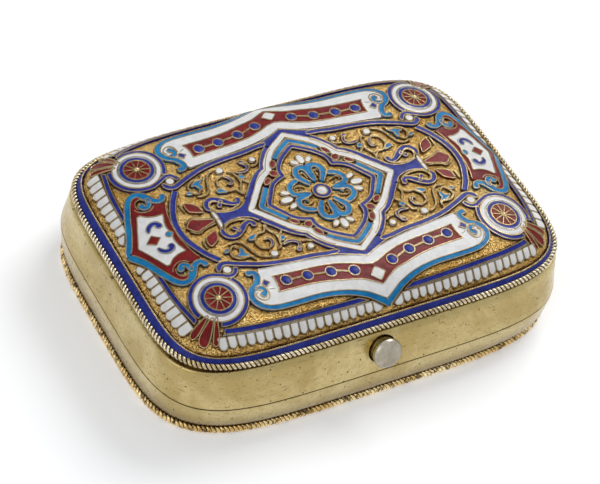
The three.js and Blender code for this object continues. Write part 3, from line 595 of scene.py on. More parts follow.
def make_firing(tree, place):
    """What firing and wear leave in enamel: slow waves, specks and pinholes."""
    waves = tree.noise(place, 0.55, 3, 0.6, 0.4)
    specks = tree.step(tree.noise(place, 3.4, 2, 0.6), 0.62, 0.72)
    holes = tree.step(tree.cells(place, 1.15), 0.05, 0.1, 1.0, 0.0)
    return waves, specks, holes


scratches = effect("scratches", ["Fine", "Marks"], make_scratches)
pits = effect("pits", ["Pits"], make_pits)
clouds = effect("clouds", ["Broad", "Fine"], make_clouds)
stipple = effect("stipple", ["Height", "DimpleShade"], make_stipple)
firing = effect("firing", ["Waves", "Specks", "Holes"], make_firing)


def start_finish(name, colour, metallic, roughness):
    """A new material with its shader set, and a place in millimetres to feed its effects."""
    material = bpy.data.materials.new(name)
    material.use_nodes = True
    tree = Tree(material.node_tree)
    shader = material.node_tree.nodes["Principled BSDF"]
    shader.inputs["Base Color"].default_value = colour
    shader.inputs["Metallic"].default_value = metallic
    shader.inputs["Roughness"].default_value = roughness
    coordinates = tree.node("ShaderNodeTexCoord").outputs["Object"]
    place = tree.place(coordinates, 0, (1000, 1000, 1000))
    return material, tree, shader, place


def run_effect(tree, group, place):
    node = tree.node("ShaderNodeGroup", node_tree=group)
    tree.feed(node.inputs[0], place)
    return list(node.outputs)


def worn_metal(name, pale, deep, dirt_and_shade, roughness, wear=1.0, patches=0.0, painted_foot_shade=None):
    """Metal with hairlines, pits and tarnish. Wear sets how strong the marks are.

    Patches sets how much dirt lies in clouds. The dirt colour also paints shade in clefts and
    at the seam. A painted foot shade is for the walls: it paints shade towards the foot and
    along the seam, and it turns the marks along the wall.
    """
    pale, deep, dirt_and_shade = rgb(*pale), rgb(*deep), rgb(*dirt_and_shade)
    material, tree, shader, place = start_finish(name, pale, 1.0, roughness)
    if painted_foot_shade:
        place = tree.attribute("wall", "Vector")
    fine, marks = run_effect(tree, scratches, place)
    pitted, = run_effect(tree, pits, place)
    broad, mottled = run_effect(tree, clouds, place)
    colour = tree.mix(tree.step(broad, 0.35, 0.65), pale, deep)
    colour = tree.mix(tree.step(mottled, 0.42, 0.7, 0.0, 0.5), colour, deep)
    # Painted shade in clefts and at the seam, from the shade attribute, in the dirt colour; the pits and
    # marks are real wear.
    stained_and_shaded = tree.step(tree.attribute("painted_shade"), 0.25, 0.9)
    stained_and_shaded = tree.most(stained_and_shaded, tree.times(pitted, 0.75 * wear))
    stained_and_shaded = tree.most(stained_and_shaded, tree.times(marks, 0.55 * wear))
    if painted_foot_shade:
        height = tree.node("ShaderNodeSeparateXYZ", {"Vector": place}).outputs[1]
        # Painted shade: the walls darken towards the foot.
        colour = tree.mix(tree.step(height, *FOOT_SHADE_HEIGHTS, 1.0, 0.0), colour, rgb(*painted_foot_shade))
        # Painted shade in a narrow line along the seam.
        from_seam = tree.math("ABSOLUTE", tree.less(height, SEAM_HEIGHT))
        stained_and_shaded = tree.most(stained_and_shaded, tree.step(from_seam, 0.06, 0.3, 0.85, 0.0))
    if patches:
        stained_and_shaded = tree.most(stained_and_shaded, tree.step(mottled, 0.5, 0.62, 0.0, patches))
    tree.feed(shader.inputs["Base Color"], tree.mix(stained_and_shaded, colour, dirt_and_shade))
    rough = tree.step(mottled, 0.3, 0.7, roughness - 0.05, roughness + 0.07)
    rough = tree.sum(rough, tree.times(fine, 0.12))
    tree.feed(shader.inputs["Roughness"], tree.sum(rough, tree.times(stained_and_shaded, 0.25)))
    cuts = tree.sum(tree.times(fine, 0.25), tree.times(marks, 0.7))
    cuts = tree.sum(cuts, pitted)
    relief = tree.less(tree.times(broad, 6.0), tree.times(cuts, wear))
    tree.feed(shader.inputs["Normal"], tree.bump(relief, 0.00004))
    return material


def enamel(name, pale, deep, speck, specks_share, roughness=0.2):
    """Glassy enamel, a little uneven, with specks and pinholes."""
    pale, deep, speck = rgb(*pale), rgb(*deep), rgb(*speck)
    material, tree, shader, place = start_finish(name, pale, 0.0, roughness)
    waves, specks, holes = run_effect(tree, firing, place)
    broad, mottled = run_effect(tree, clouds, place)
    colour = tree.mix(tree.step(waves, 0.36, 0.66), pale, deep)
    colour = tree.mix(tree.step(mottled, 0.5, 0.72, 0.0, 0.45), colour, deep)
    spots = tree.most(tree.times(specks, specks_share), tree.times(holes, 0.7))
    tree.feed(shader.inputs["Base Color"], tree.mix(spots, colour, speck))
    rough = tree.step(mottled, 0.3, 0.75, roughness - 0.04, roughness + 0.16)
    tree.feed(shader.inputs["Roughness"], rough)
    shader.inputs["Specular IOR Level"].default_value = 0.16
    relief = tree.less(tree.times(waves, 1.6), tree.times(holes, 0.6))
    tree.feed(shader.inputs["Normal"], tree.bump(relief, 0.00005))
    return material


def struck_ground(name):
    """The plaque's ground: gilt, struck all over, with painted shade in the dimples and beside the wires.
    """
    material, tree, shader, place = start_finish(name, rgb(214, 172, 92), 1.0, 0.4)
    height, dimple_shade = run_effect(tree, stipple, place)
    broad, mottled = run_effect(tree, clouds, place)
    painted_shade = tree.attribute("painted_shade")
    colour = tree.mix(tree.step(broad, 0.35, 0.65), rgb(208, 170, 102), rgb(186, 143, 71))
    colour = tree.mix(tree.step(mottled, 0.46, 0.66, 0.0, 0.55), colour, rgb(228, 200, 136))
    # Painted shade: the dimples, the ground beside the wires and low ground darken towards deep brown.
    dark = tree.sum(painted_shade, tree.times(dimple_shade, 0.6))
    colour = tree.mix(tree.step(dark, 0.3, 1.05, 0.0, 0.96), colour, rgb(74, 40, 14))
    tree.feed(shader.inputs["Base Color"], colour)
    tree.feed(shader.inputs["Roughness"], tree.step(height, 0.4, 1.4, 0.5, 0.3))
    tree.feed(shader.inputs["Normal"], tree.bump(height, 0.0002))
    return material


# Heights in millimetres between which the walls' painted shade at the foot fades out.
FOOT_SHADE_HEIGHTS = (1.6, 8.2)
gilt_wall = worn_metal(
    "gilt_wall", (186, 169, 122), (163, 143, 93), (44, 32, 12), 0.27, painted_foot_shade=(92, 72, 34),
)
gilt_plain = worn_metal("gilt_plain", (205, 188, 136), (180, 158, 100), (84, 68, 30), 0.28)
# Its dirt colour also paints the shade of the bezel's seam line.
gilt_inside = worn_metal("gilt_inside", (226, 206, 150), (208, 184, 120), (30, 20, 8), 0.2, 0.5)
# A darker copy of the gilt: painted shade on the cut faces of the button's bore and the hinge groove.
gilt_shaded = worn_metal("gilt_shaded", (112, 90, 46), (84, 64, 30), (36, 26, 12), 0.5)
gilt_rope = worn_metal("gilt_rope", (236, 214, 164), (190, 158, 100), (34, 20, 8), 0.25, 0.9, 0.8)
pale_rope = worn_metal("pale_rope", (214, 200, 170), (176, 156, 116), (52, 36, 18), 0.25, 0.9, 0.4)
gilt_wire = worn_metal("gilt_wire", (200, 180, 138), (168, 144, 98), (64, 42, 16), 0.26, 0.2)
silver = worn_metal("silver_button", (172, 165, 150), (142, 134, 118), (96, 88, 72), 0.3, 0.4)
steel = worn_metal("steel", (168, 166, 160), (140, 138, 132), (60, 54, 46), 0.3)
gold_ground = struck_ground("gold_ground")
white = enamel("white_enamel", (241, 240, 238), (230, 228, 228), (132, 124, 120), 0.2)
cobalt = enamel("cobalt_enamel", (40, 54, 152), (26, 36, 122), (10, 14, 58), 0.35, 0.3)
turquoise = enamel("turquoise_enamel", (26, 134, 190), (12, 108, 168), (6, 58, 104), 0.35, 0.3)
red = enamel("red_enamel", (134, 20, 20), (104, 10, 12), (38, 4, 4), 0.45, 0.3)
pale_wire = worn_metal("pale_wire", (192, 176, 142), (164, 144, 106), (72, 52, 28), 0.28, 0.2)
grey = worn_metal("grey_wire", (196, 192, 186), (170, 164, 152), (70, 60, 46), 0.3, 0.2)


# Case walls

def ring(inset, roundness, height):
    """A level ring of the case's outline, drawn in from its seam by the inset."""
    outline = rounded_outline(SEAM_HALF_LENGTH - inset[0], SEAM_HALF_WIDTH - inset[1], roundness)
    outline = even_loop(outline, count=RING_POINTS)
    return np.column_stack([outline, np.full(RING_POINTS, height)])


def crown_ring(share, depth):
    """A ring of the plaque's outline at a share of its size, below the crown by the depth."""
    half_length = share * (CROWN_HALF_LENGTH - PLAQUE_EDGE_INSET[0])
    half_width = share * (CROWN_HALF_WIDTH - PLAQUE_EDGE_INSET[1])
    outline = rounded_outline(half_length, half_width, PLAQUE_ROUNDNESS)
    outline = even_loop(outline, count=RING_POINTS)
    return on_crown(outline[:, 0], outline[:, 1], -depth)


def level_rings(levels):
    """Rings along a soft curve through levels of (inset x, inset y, roundness, height)."""
    levels = np.array(levels, dtype=float)
    padded = with_ends(levels)
    steps = 4
    soft = [
        soft_curve(*padded[index - 1:index + 3], share)
        for index in range(1, len(padded) - 2)
        for share in np.arange(steps) / steps
    ]
    return [ring(level[:2], level[2], level[3]) for level in [*soft, levels[-1]]]


def mark_wall(piece):
    """Gives every point its place along the wall and up it, for the wall's hairlines and pits."""
    outline = rounded_outline(SEAM_HALF_LENGTH, SEAM_HALF_WIDTH, SEAM_ROUNDNESS, 0.5)
    outline = np.vstack([outline, outline[:1]])
    start = int(np.argmax(outline[:, 1] - 0.01 * np.abs(outline[:, 0])))
    outline = np.vstack([outline[start:-1], outline[:start + 1]])
    travelled = np.concatenate([[0], np.cumsum(np.hypot(*np.diff(outline, axis=0).T))])
    angles = np.unwrap(np.arctan2(outline[:, 1], outline[:, 0]))
    count = len(piece.data.vertices)
    points = np.empty(3 * count)
    piece.data.vertices.foreach_get("co", points)
    points = points.reshape(-1, 3) / MM
    turn = np.arctan2(points[:, 1], points[:, 0])
    turn = angles[0] + np.mod(turn - angles[0], 2 * math.pi)
    place = np.column_stack([np.interp(turn, angles, travelled), points[:, 2], np.zeros(count)])
    layer = piece.data.attributes.new("wall", "FLOAT_VECTOR", "POINT")
    layer.data.foreach_set("vector", place.ravel())


def cut(piece, cutter):
    """Cuts one closed object from another and drops the cutter."""
    modifier = piece.modifiers.new("cut", "BOOLEAN")
    modifier.operation = "DIFFERENCE"
    modifier.solver = "EXACT"
    modifier.object = cutter
    bpy.context.view_layer.update()
    carved = bpy.data.meshes.new_from_object(piece.evaluated_get(bpy.context.evaluated_depsgraph_get()))
    piece.modifiers.clear()
    piece.data = carved
    bpy.data.objects.remove(cutter)


def lathe(piece, profile, finish, place, sides):
    """Turns a profile of (radius, distance) round an axis; place() sets it where it belongs."""
    angles = np.linspace(0, 2 * math.pi, sides, endpoint=False)
    rows = [
        place(np.column_stack([radius * np.cos(angles), np.full(sides, along), radius * np.sin(angles)]))
        for radius, along in profile
    ]
    piece.grid(np.array(rows), finish, round_section=True)


def closed_lathe(piece, profile, finish, place, sides):
    """A turned solid with flat ends."""
    first = piece.count
    lathe(piece, profile, finish, place, sides)
    piece.cap(first, sides, finish)
    piece.cap(piece.count - sides, sides, finish, flip=True)


def cutter_object(profile, place, sides=64):
    """A turned solid to cut away. The cut faces take its shaded gilt, painted shade inside the cut."""
    piece = Piece("cutter")
    closed_lathe(piece, profile, gilt_inside, place, sides)
    mesh = bpy.data.meshes.new("cutter")
    mesh.from_pydata((np.vstack(piece.points) * MM).tolist(), [], piece.faces)
    body = bmesh.new()
    body.from_mesh(mesh)
    bmesh.ops.recalc_face_normals(body, faces=body.faces)
    body.to_mesh(mesh)
    body.free()
    mesh.materials.append(gilt_shaded)
    cutter = bpy.data.objects.new("cutter", mesh)
    bpy.context.scene.collection.objects.link(cutter)
    return cutter


def at_button(points):
    """From the button's own frame, with Y inwards along its axis, to its place in the wall."""
    points = np.asarray(points, dtype=float)
    cosine, sine = math.cos(BUTTON_LEAN), math.sin(BUTTON_LEAN)
    along = points[..., 1] * cosine + points[..., 2] * sine
    up = -points[..., 1] * sine + points[..., 2] * cosine
    return np.stack([points[..., 0] + BUTTON_X, along + BUTTON_Y, up + BUTTON_Z], axis=-1)


def at_hinge(points, start):
    """From a turned shape's own frame, with Y along its axis, to the hinge line."""
    x, y, z = np.moveaxis(np.asarray(points, dtype=float), -1, 0)
    return np.stack([y + start, x + HINGE_Y, z + SEAM_HEIGHT], axis=-1)


def groove_cutter():
    """What the hinge's barrels need clear in both shells."""
    radius = KNUCKLE_RADIUS + HINGE_CLEARANCE
    profile = [(radius, 0), (radius, HINGE_SPAN + 2 * HINGE_CLEARANCE)]
    return cutter_object(profile, lambda points: at_hinge(points, -HINGE_SPAN / 2 - HINGE_CLEARANCE))


# Lid shell: a wall that leans in, a rolled shoulder under the rope, and the deck under the plaque
lip_inset = (WALL - 0.1, WALL - 0.1)
edge_inset = (LIP_SOFTENING, LIP_SOFTENING)
lid = Piece("lid_shell")
lid_wall = [
    (0.0, 0.0, SEAM_ROUNDNESS, LID_EDGE),
    (0.27, 0.46, 5.0, SEAM_HEIGHT + 1.9),
    (0.77, 1.41, 5.2, SEAM_HEIGHT + 4.8),
    (1.0, 2.25, 5.35, SEAM_HEIGHT + 7.4),
    (1.12, 3.02, 5.5, SEAM_HEIGHT + 8.75),
    (1.3, 3.45, 5.58, SEAM_HEIGHT + 9.15),
]
lip = [ring(lip_inset, SEAM_ROUNDNESS, LID_EDGE), ring(edge_inset, SEAM_ROUNDNESS, LID_EDGE)]
outside = level_rings([(0.0, 0.0, SEAM_ROUNDNESS, LID_EDGE + LIP_SOFTENING), *lid_wall[1:]])
seat = [ring((1.57, 3.86), CROWN_ROUNDNESS, SEAM_HEIGHT + 9.2)]
deck = [crown_ring(share, DECK_TOP) for share in (1, 0.955, 0.9, 0.83, 0.74, 0.62, 0.45, 0.2)]
ceiling = [crown_ring(share, DECK_BOTTOM) for share in (0.2, 0.4, 0.62, 0.78, 0.88, 0.95)]
inner = level_rings([(x + WALL, y + WALL, roundness, z) for x, y, roundness, z in lid_wall[3::-1]])
lid_rows = lip + outside + seat + deck
# Painted shade on the lid's lip, so that the seam reads as a dark line.
seam_shade = np.repeat([LIP_SHADE, LIP_SHADE] + [0] * (len(lid_rows) - 2), RING_POINTS)
lid.grid(np.array(lid_rows), gilt_wall, round_section=True, painted_shade=seam_shade)
ceiling_start = lid.count
lid.grid(np.array(ceiling + inner + lip[:1]), gilt_inside, round_section=True)
lid.cap(ceiling_start - RING_POINTS, RING_POINTS, gilt_wall, flip=True)
lid.cap(ceiling_start, RING_POINTS, gilt_inside)
lid_shell = lid.build("lid", "gilt_body", "lid_shell", sharp=50, weld=True)
bore = [(BUTTON_RADIUS + 0.3, -5), (BUTTON_RADIUS + 0.3, 2.5)]
cut(lid_shell, cutter_object(bore, at_button))
cut(lid_shell, groove_cutter())
mark_wall(lid_shell)

# Base shell
FOOT_ROUNDNESS = 4.6
foot = (2.17, 2.71)
base = Piece("base_shell")
base_wall = [
    (0.62, 1.2, 4.65, 2.6),
    (0.42, 0.5, 4.7, 3.6),
    (0.3, 0.12, 4.8, 5.05),
    (0.12, 0.02, 4.88, 7.6),
    (0.0, 0.0, SEAM_ROUNDNESS, BASE_EDGE - LIP_SOFTENING),
]
base_outside = [ring(foot, FOOT_ROUNDNESS, height) for height in (BASE_FLOOR_BOTTOM, 2.45)]
base_outside += level_rings(base_wall)
base_lip = [ring(edge_inset, SEAM_ROUNDNESS, BASE_EDGE), ring(lip_inset, SEAM_ROUNDNESS, BASE_EDGE)]
# Painted shade on the base's lip, so that the seam reads as a dark line.
seam_shade = np.repeat([0] * len(base_outside) + [LIP_SHADE, LIP_SHADE], RING_POINTS)
base.grid(np.array(base_outside + base_lip), gilt_wall, round_section=True, painted_shade=seam_shade)
base_inner = level_rings([
    (WALL, WALL, SEAM_ROUNDNESS, BASE_EDGE - 0.1),
    (WALL + 0.3, WALL + 0.12, 4.8, 5.05),
    (2.0, 1.9, 4.7, 3.4),
    (2.7, 2.52, 4.7, BASE_FLOOR_TOP),
])
base.grid(np.array(base_lip[1:] + base_inner), gilt_inside, round_section=True)
base.cap(0, RING_POINTS, gilt_inside, flip=True)
base.cap(base.count - RING_POINTS, RING_POINTS, gilt_inside)
base_shell = base.build("base", "gilt_body", "base_shell", sharp=50, weld=True)
cut(base_shell, groove_cutter())
mark_wall(base_shell)

# Bottom plate, with a softened lower edge
plate = Piece("base_plate")
plate_levels = [((2.42, 2.96), 0.0), ((2.27, 2.81), 0.06), ((2.22, 2.76), 0.2), ((2.22, 2.76), 1.0)]
plate_rings = [ring(inset, FOOT_ROUNDNESS, height) for inset, height in plate_levels]
plate.grid(np.array(plate_rings), gilt_plain, round_section=True)
plate.cap(0, RING_POINTS, gilt_plain, flip=True)
plate.cap(plate.count - RING_POINTS, RING_POINTS, gilt_plain)
plate.build("base", "gilt_body", "base_plate", sharp=50)

# Bezel, with a line of painted shade where the seam is
bezel = Piece("base_bezel")
# The last column marks the rings that carry the painted shade of the seam.
bezel_levels = [
    ((2.5, 2.5), 4.85, -4.3, 0),
    ((1.82, 1.8), 4.85, -4.3, 0),
    ((1.79, 1.97), SEAM_ROUNDNESS, -0.3, 0),
    ((1.79, 1.97), SEAM_ROUNDNESS, -0.1, 1),
    ((1.79, 1.97), SEAM_ROUNDNESS, 0.4, 1),
    ((1.79, 1.97), SEAM_ROUNDNESS, 0.6, 0),
    ((1.77, 2.0), SEAM_ROUNDNESS, 1.28, 0),
    ((1.85, 2.08), SEAM_ROUNDNESS, 1.38, 0),
    ((2.39, 2.62), SEAM_ROUNDNESS, 1.38, 0),
    ((2.47, 2.7), SEAM_ROUNDNESS, 1.28, 0),
]
bezel_rings = [ring(inset, roundness, BASE_EDGE + rise) for inset, roundness, rise, _ in bezel_levels]
seam_shade = np.repeat([level[3] for level in bezel_levels], RING_POINTS)
bezel.grid(np.array(bezel_rings), gilt_inside, closed=True, round_section=True, painted_shade=seam_shade)
bezel.build("base", "gilt_body", "base_bezel", sharp=50)


# Ropes

def rope(name, centres, outward, radius, pitch, finish, body, node):
    """Two round strands laid together and turned along a closed run of points."""
    turn = np.linspace(0, 2 * math.pi, ROPE_SIDES, endpoint=False)[None, :, None]
    along = np.roll(centres, -1, axis=0) - np.roll(centres, 1, axis=0)
    along /= np.linalg.norm(along, axis=1)[:, None]
    side = np.cross(along, outward)
    side /= np.linalg.norm(side, axis=1)[:, None]
    out = np.cross(side, along)
    steps = np.linalg.norm(np.roll(centres, -1, axis=0) - centres, axis=1)
    travelled = np.concatenate([[0], np.cumsum(steps)])
    turns = round(travelled[-1] / (2 * pitch))
    travelled = travelled[:-1] / travelled[-1] * turns * 2 * math.pi
    strand_radius = radius / 2
    piece = Piece(name)
    for start in (0, math.pi):
        angle = (travelled + start)[:, None]
        middle = centres + strand_radius * (np.cos(angle) * out + np.sin(angle) * side)
        run = np.roll(middle, -1, axis=0) - np.roll(middle, 1, axis=0)
        run /= np.linalg.norm(run, axis=1)[:, None]
        away = middle - centres
        across = np.cross(run, away)
        across /= np.linalg.norm(across, axis=1)[:, None]
        rise = np.cross(across, run)
        section = across[:, None] * np.cos(turn) + rise[:, None] * np.sin(turn)
        rows = middle[:, None] + strand_radius * section
        # Painted shade: the strands darken where they sink towards the rope's middle, between the
        # strands.
        depth = 1 - np.linalg.norm(rows - centres[:, None], axis=2) / radius
        painted_shade = np.clip(5.5 * depth - 0.1, 0, 1)
        piece.grid(rows, finish, closed=True, round_section=True, painted_shade=painted_shade)
    piece.build(body, "gilt_rope", node, sharp=80)


ROPE_SIDES = 8
FOOT_ROPE_HEIGHT = 1.3
lower_run = rounded_outline(SEAM_HALF_LENGTH - 0.77, SEAM_HALF_WIDTH - 1.31, FOOT_ROUNDNESS, 0.14)
lower_run = np.column_stack([lower_run, np.full(len(lower_run), FOOT_ROPE_HEIGHT)])
lower_out = lower_run * (1, 1, 0) / 40
rope("base_rope", lower_run, lower_out, 1.0, 0.98, gilt_rope, "base", "base_rope_border")
upper_run = rounded_outline(CROWN_HALF_LENGTH - 0.92, CROWN_HALF_WIDTH - 0.35, CROWN_ROUNDNESS, 0.13)
upper_run = on_crown(upper_run[:, 0], upper_run[:, 1], 0.05)
upper_out = np.tile((0.0, 0.0, 1.0), (len(upper_run), 1))
rope("lid_rope", upper_run, upper_out, 0.78, 1.05, pale_rope, "lid", "lid_rope_border")


# Hinge

def round_edge(radius, start, end, soft):
    """A turned profile with softened ends."""
    steps = np.linspace(0, math.pi / 2, 5)
    core = radius - soft
    left = [(core + soft * math.sin(angle), start + soft - soft * math.cos(angle)) for angle in steps]
    right = [(core + soft * math.cos(angle), end - soft + soft * math.sin(angle)) for angle in steps]
    return left + right


for index in range(KNUCKLE_COUNT):
    start = -HINGE_SPAN / 2 + index * (KNUCKLE_LENGTH + KNUCKLE_GAP)
    owner = "base" if index % 2 == 0 else "lid"
    knuckle = Piece(f"knuckle_{index + 1}")
    profile = [
        (KNUCKLE_BORE, KNUCKLE_LENGTH),
        (KNUCKLE_BORE, 0),
        *round_edge(KNUCKLE_RADIUS, 0, KNUCKLE_LENGTH, 0.16),
        (KNUCKLE_BORE, KNUCKLE_LENGTH),
    ]
    lathe(knuckle, profile, gilt_plain, lambda points: at_hinge(points, start), 40)
    knuckle.build(owner, "gilt_body", f"{owner}_hinge_knuckle_{index + 1}")
pin = Piece("pin")
pin_profile = [
    (0.12, 0),
    (0.33, 0.05),
    (PIN_RADIUS, 0.25),
    (PIN_RADIUS, HINGE_SPAN - 0.25),
    (0.33, HINGE_SPAN - 0.05),
    (0.12, HINGE_SPAN),
]
closed_lathe(pin, pin_profile, steel, lambda points: at_hinge(points, -HINGE_SPAN / 2), 24)
pin.build("base", "steel_fittings", "hinge_pin")


# Push button and catch
button = Piece("button")
DOME = [
    (0.15, -3.74), (0.7, -3.72), (1.4, -3.64), (2.05, -3.48), (2.6, -3.26), (3.02, -2.99), (3.3, -2.7),
    (3.46, -2.42), (3.5, -2.2),
]
SHAFT = [
    (3.5, -2.2), (3.48, -1.95), (3.38, -1.6), (3.24, -1.3), (3.14, -1.0), (3.1, -0.6), (3.1, 1.25),
    (2.95, 1.4),
]
closed_lathe(button, DOME, silver, at_button, 72)
closed_lathe(button, SHAFT, gilt_plain, at_button, 72)
button.build("button", "silver_button", "push_button", sharp=60)
stem = Piece("stem")
closed_lathe(stem, [(0.9, 1.4), (1.0, 1.5), (1.0, 5.7), (0.9, 5.8)], silver, at_button, 32)
stem.build("button", "silver_button", "button_stem")


def bar(piece, low, high, finish, place, bevel=0.12):
    """A block with bevelled edges."""
    low, high = np.array(low, dtype=float), np.array(high, dtype=float)
    body = bmesh.new()
    bmesh.ops.create_cube(body, size=1.0)
    for vertex in body.verts:
        vertex.co = Vector(low + (np.array(vertex.co) + 0.5) * (high - low))
    bmesh.ops.bevel(body, geom=list(body.edges), offset=bevel, segments=2, affect="EDGES", profile=0.5)
    points = place(np.array([tuple(vertex.co) for vertex in body.verts]))
    faces = [tuple(vertex.index for vertex in face.verts) for face in body.faces]
    body.free()
    piece.add(points, faces, finish)


guide = Piece("guide")
bar(guide, (-3, 3.4, -2.2), (3, 4.0, 6.5), gilt_inside, at_button)
guide_piece = guide.build("lid", "gilt_body", "button_guide", sharp=35)
cut(guide_piece, cutter_object([(1.3, 2.9), (1.3, 4.6)], at_button, 40))

SPRING_TURNS = 2.4
SPRING_RADIUS = 1.55
SPRING_WIRE = 0.12
spring = Piece("spring")
turns = np.linspace(0, 2 * math.pi * SPRING_TURNS, 150)
rise = 2.62 + 0.36 * turns / turns[-1]
coil = np.column_stack([SPRING_RADIUS * np.cos(turns), rise, SPRING_RADIUS * np.sin(turns)])
outward = np.column_stack([np.cos(turns), np.zeros(len(turns)), np.sin(turns)])
up = at_button(coil + outward) - at_button(coil)
sweep(spring, at_button(coil), up, SPRING_WIRE, False, steel, NO_TWIST)
spring.build("lid", "steel_fittings", "button_spring")

hook = Piece("hook")
bar(hook, (-2.5, 5.8, -6.0), (2.5, 6.6, 1.4), steel, at_button)
bar(hook, (-2.5, 4.9, -6.0), (2.5, 6.0, -5.0), steel, at_button, 0.2)
closed_lathe(hook, [(0.7, 6.55), (0.7, 6.72), (0.5, 6.85)], steel, at_button, 32)
hook.build("button", "steel_fittings", "catch_hook", sharp=35)

keeper = Piece("keeper")
keeper_low, keeper_high = box_mm("catch_keeper")
bar(keeper, keeper_low, keeper_high, steel, lambda points: points, 0.2)
keeper.build("base", "steel_fittings", "catch_keeper", sharp=35)


# Enamel

def leaf(piece, x, y, finish, length, width, turn, metal=None, lift=0.0):
    """A small domed bead or leaf with a wire round it."""
    angle = math.radians(turn)
    along, across = (circle(0, 0, 1, 0.3) * (length, width)).T
    outline = np.column_stack([
        x + along * math.cos(angle) - across * math.sin(angle),
        y + along * math.sin(angle) + across * math.cos(angle),
    ])
    field(piece, outline, finish, 0.08, lift, 0.3, FINE_WIRE, metal)


def outlined(piece, points, finish, swell=-0.05, edges=FINE_WIRE, soft=True, metal=None, lift=0.0):
    """A field with a wire round it, soft in outline or with corners."""
    rim = smooth(points, closed=True) if soft else even_loop(points)
    field(piece, rim, finish, swell, lift, 0.5, edges, metal)


def stroke(piece, points, finish, ball=None, width=None, metal=None, lift=0.0, on_axis=False):
    """A line of enamel with a wire round its outline, and a round end where a ball is given.

    Its points may carry their own widths. A line that starts on the Y axis has no wire there.
    """
    run = smooth(points, FINE_STEP)
    taper = run[:, 2] / 2 if run.shape[1] == 3 else np.full(len(run), width / 2)
    run = run[:, :2]
    close = np.linspace(0.45, 1, min(4, len(run) // 3))
    if not on_axis:
        taper[:len(close)] *= close
    if ball:
        middle = run[-1]
        ahead = (run[-1] - run[-2]) / np.hypot(*(run[-1] - run[-2]))
        run = np.vstack([run, middle + ahead * np.linspace(0, ball, 7)[1:, None]])
        taper = np.concatenate([taper, np.zeros(6)])
        round_end = ball ** 2 - np.sum((run - middle) ** 2, axis=1)
        taper = np.maximum(taper, np.sqrt(np.maximum(round_end, 0.0004)))
    else:
        taper[-len(close):] *= close[::-1]
    left, right = beside(run, taper), beside(run, -taper)
    if on_axis:
        left[0] = (0, left[0][1] + 0.12)
        right[0] = (0, right[0][1] + 0.12)
    band(piece, left, right, finish, lift=lift)
    outline = np.vstack([left, right[::-1]])
    parts = [np.roll(outline, -1, axis=0)[:-1]] if on_axis else clear_of_axes(outline)
    for part in parts:
        wire(piece, part, metal=metal, lift=lift)


def soft_wire(piece, points, radius=FINE_WIRE, metal=None, lift=0.0):
    """A plain run of wire along a soft curve."""
    wire(piece, smooth(points, FINE_STEP), radius, False, metal, lift)


# Cobalt band round the crown, and the wire inside it
BAND_OUTER = (49.75, 34.4)
BAND_INNER = (48.5, 33.4)
BAND_WIRE = (48.42, 33.32)
BAND_POINTS = 900
border = Piece("blue_border")
outer = evenly(rounded_outline(*BAND_OUTER, PLAQUE_ROUNDNESS), count=BAND_POINTS)
inner = evenly(rounded_outline(*BAND_INNER, PLAQUE_ROUNDNESS), count=BAND_POINTS)
band(border, outer, inner, cobalt, closed=True)
wire(border, rounded_outline(*BAND_WIRE, PLAQUE_ROUNDNESS), WIRE, True)
border.build("lid", "cobalt_enamel", "blue_border_band")

# White tongues. Each has its own wire; they stand on a cobalt line
TONGUE_GAP = 0.13
TIP_ROUNDING = 0.62


def tongue(piece, start, end, tips, roots, swap):
    """One tongue between two places along its row, with a rounded tip."""
    low, high = start + TONGUE_GAP, end - TONGUE_GAP
    half = (high - low) / 2
    middle = (low + high) / 2
    angles = np.linspace(math.pi, 0, 11)[1:-1]

    def tip(place):
        return np.interp(place, tips[:, 0], tips[:, 1]) - TONGUE_GAP

    def root(place):
        return np.interp(place, roots[:, 0], roots[:, 1])

    along = [low, low, *(middle + half * np.cos(angles)), high, high]
    out = [
        root(low),
        tip(low) - TIP_ROUNDING,
        *(tip(middle + half * np.cos(angles)) - TIP_ROUNDING * (1 - np.sin(angles))),
        tip(high) - TIP_ROUNDING,
        root(high),
    ]
    rim = even_loop(np.column_stack([out, along] if swap else [along, out]), 0.28)
    field(piece, rim, white, swell=0.12, grain=0.42, edges=FINE_WIRE, metal=pale_wire)


def tongue_row(piece, tips, roots, places, first, line_outer, line_inner, swap=False):
    """A row of tongues at its places (start, pitch, count), and the cobalt line they stand on."""
    start, pitch, count = places
    for index in range(count):
        low = start + index * pitch
        tongue(piece, low, low + pitch, np.array(tips), np.array(roots), swap)
    outlined(piece, first, white, 0.1, metal=pale_wire)
    outer, inner = smooth(line_outer), smooth(line_inner)
    band(piece, outer, inner, cobalt)
    wire(piece, joined(outer, inner[::-1]), closed=True)


LONG_PLACES = (3.8, 2.012, 18)
LONG_TIPS = [
    (1, 32.5), (5, 32.6), (12, 32.65), (24, 32.6), (28, 32.2), (31, 32.0), (35, 31.4), (40, 30.5),
]
LONG_ROOTS = [
    (1, 30.95), (15, 30.9), (20, 30.65), (25, 30.45), (30, 30.1), (34, 29.55), (36, 29.15), (40, 28.2),
]
LONG_FIRST = [
    (2.0, 32.5), (1.55, 32.15), (1.7, 31.95), (2.6, 31.5), (3.5, 31.05), (3.7, 31.1), (3.7, 32.2),
    (3.2, 32.55),
]
LONG_LINE_OUTER = [
    (4.5, 30.6), (8, 30.62), (14, 30.5), (20, 30.35), (25, 30.1), (30, 29.75), (34, 29.2), (36, 28.75),
    (38.3, 28.1),
]
LONG_LINE_INNER = [
    (6.8, 29.75), (9, 29.7), (14, 29.6), (20, 29.45), (25, 29.2), (30, 28.8), (34, 28.2), (36, 27.75),
    (37.9, 27.15),
]
LONG_WIRE = [
    (3.6, 30.95), (8, 30.82), (14, 30.72), (20, 30.55), (25, 30.3), (30, 29.95), (34, 29.4),
    (38.6, 28.25),
]
SHORT_PLACES = (5.7, 2.3375, 8)
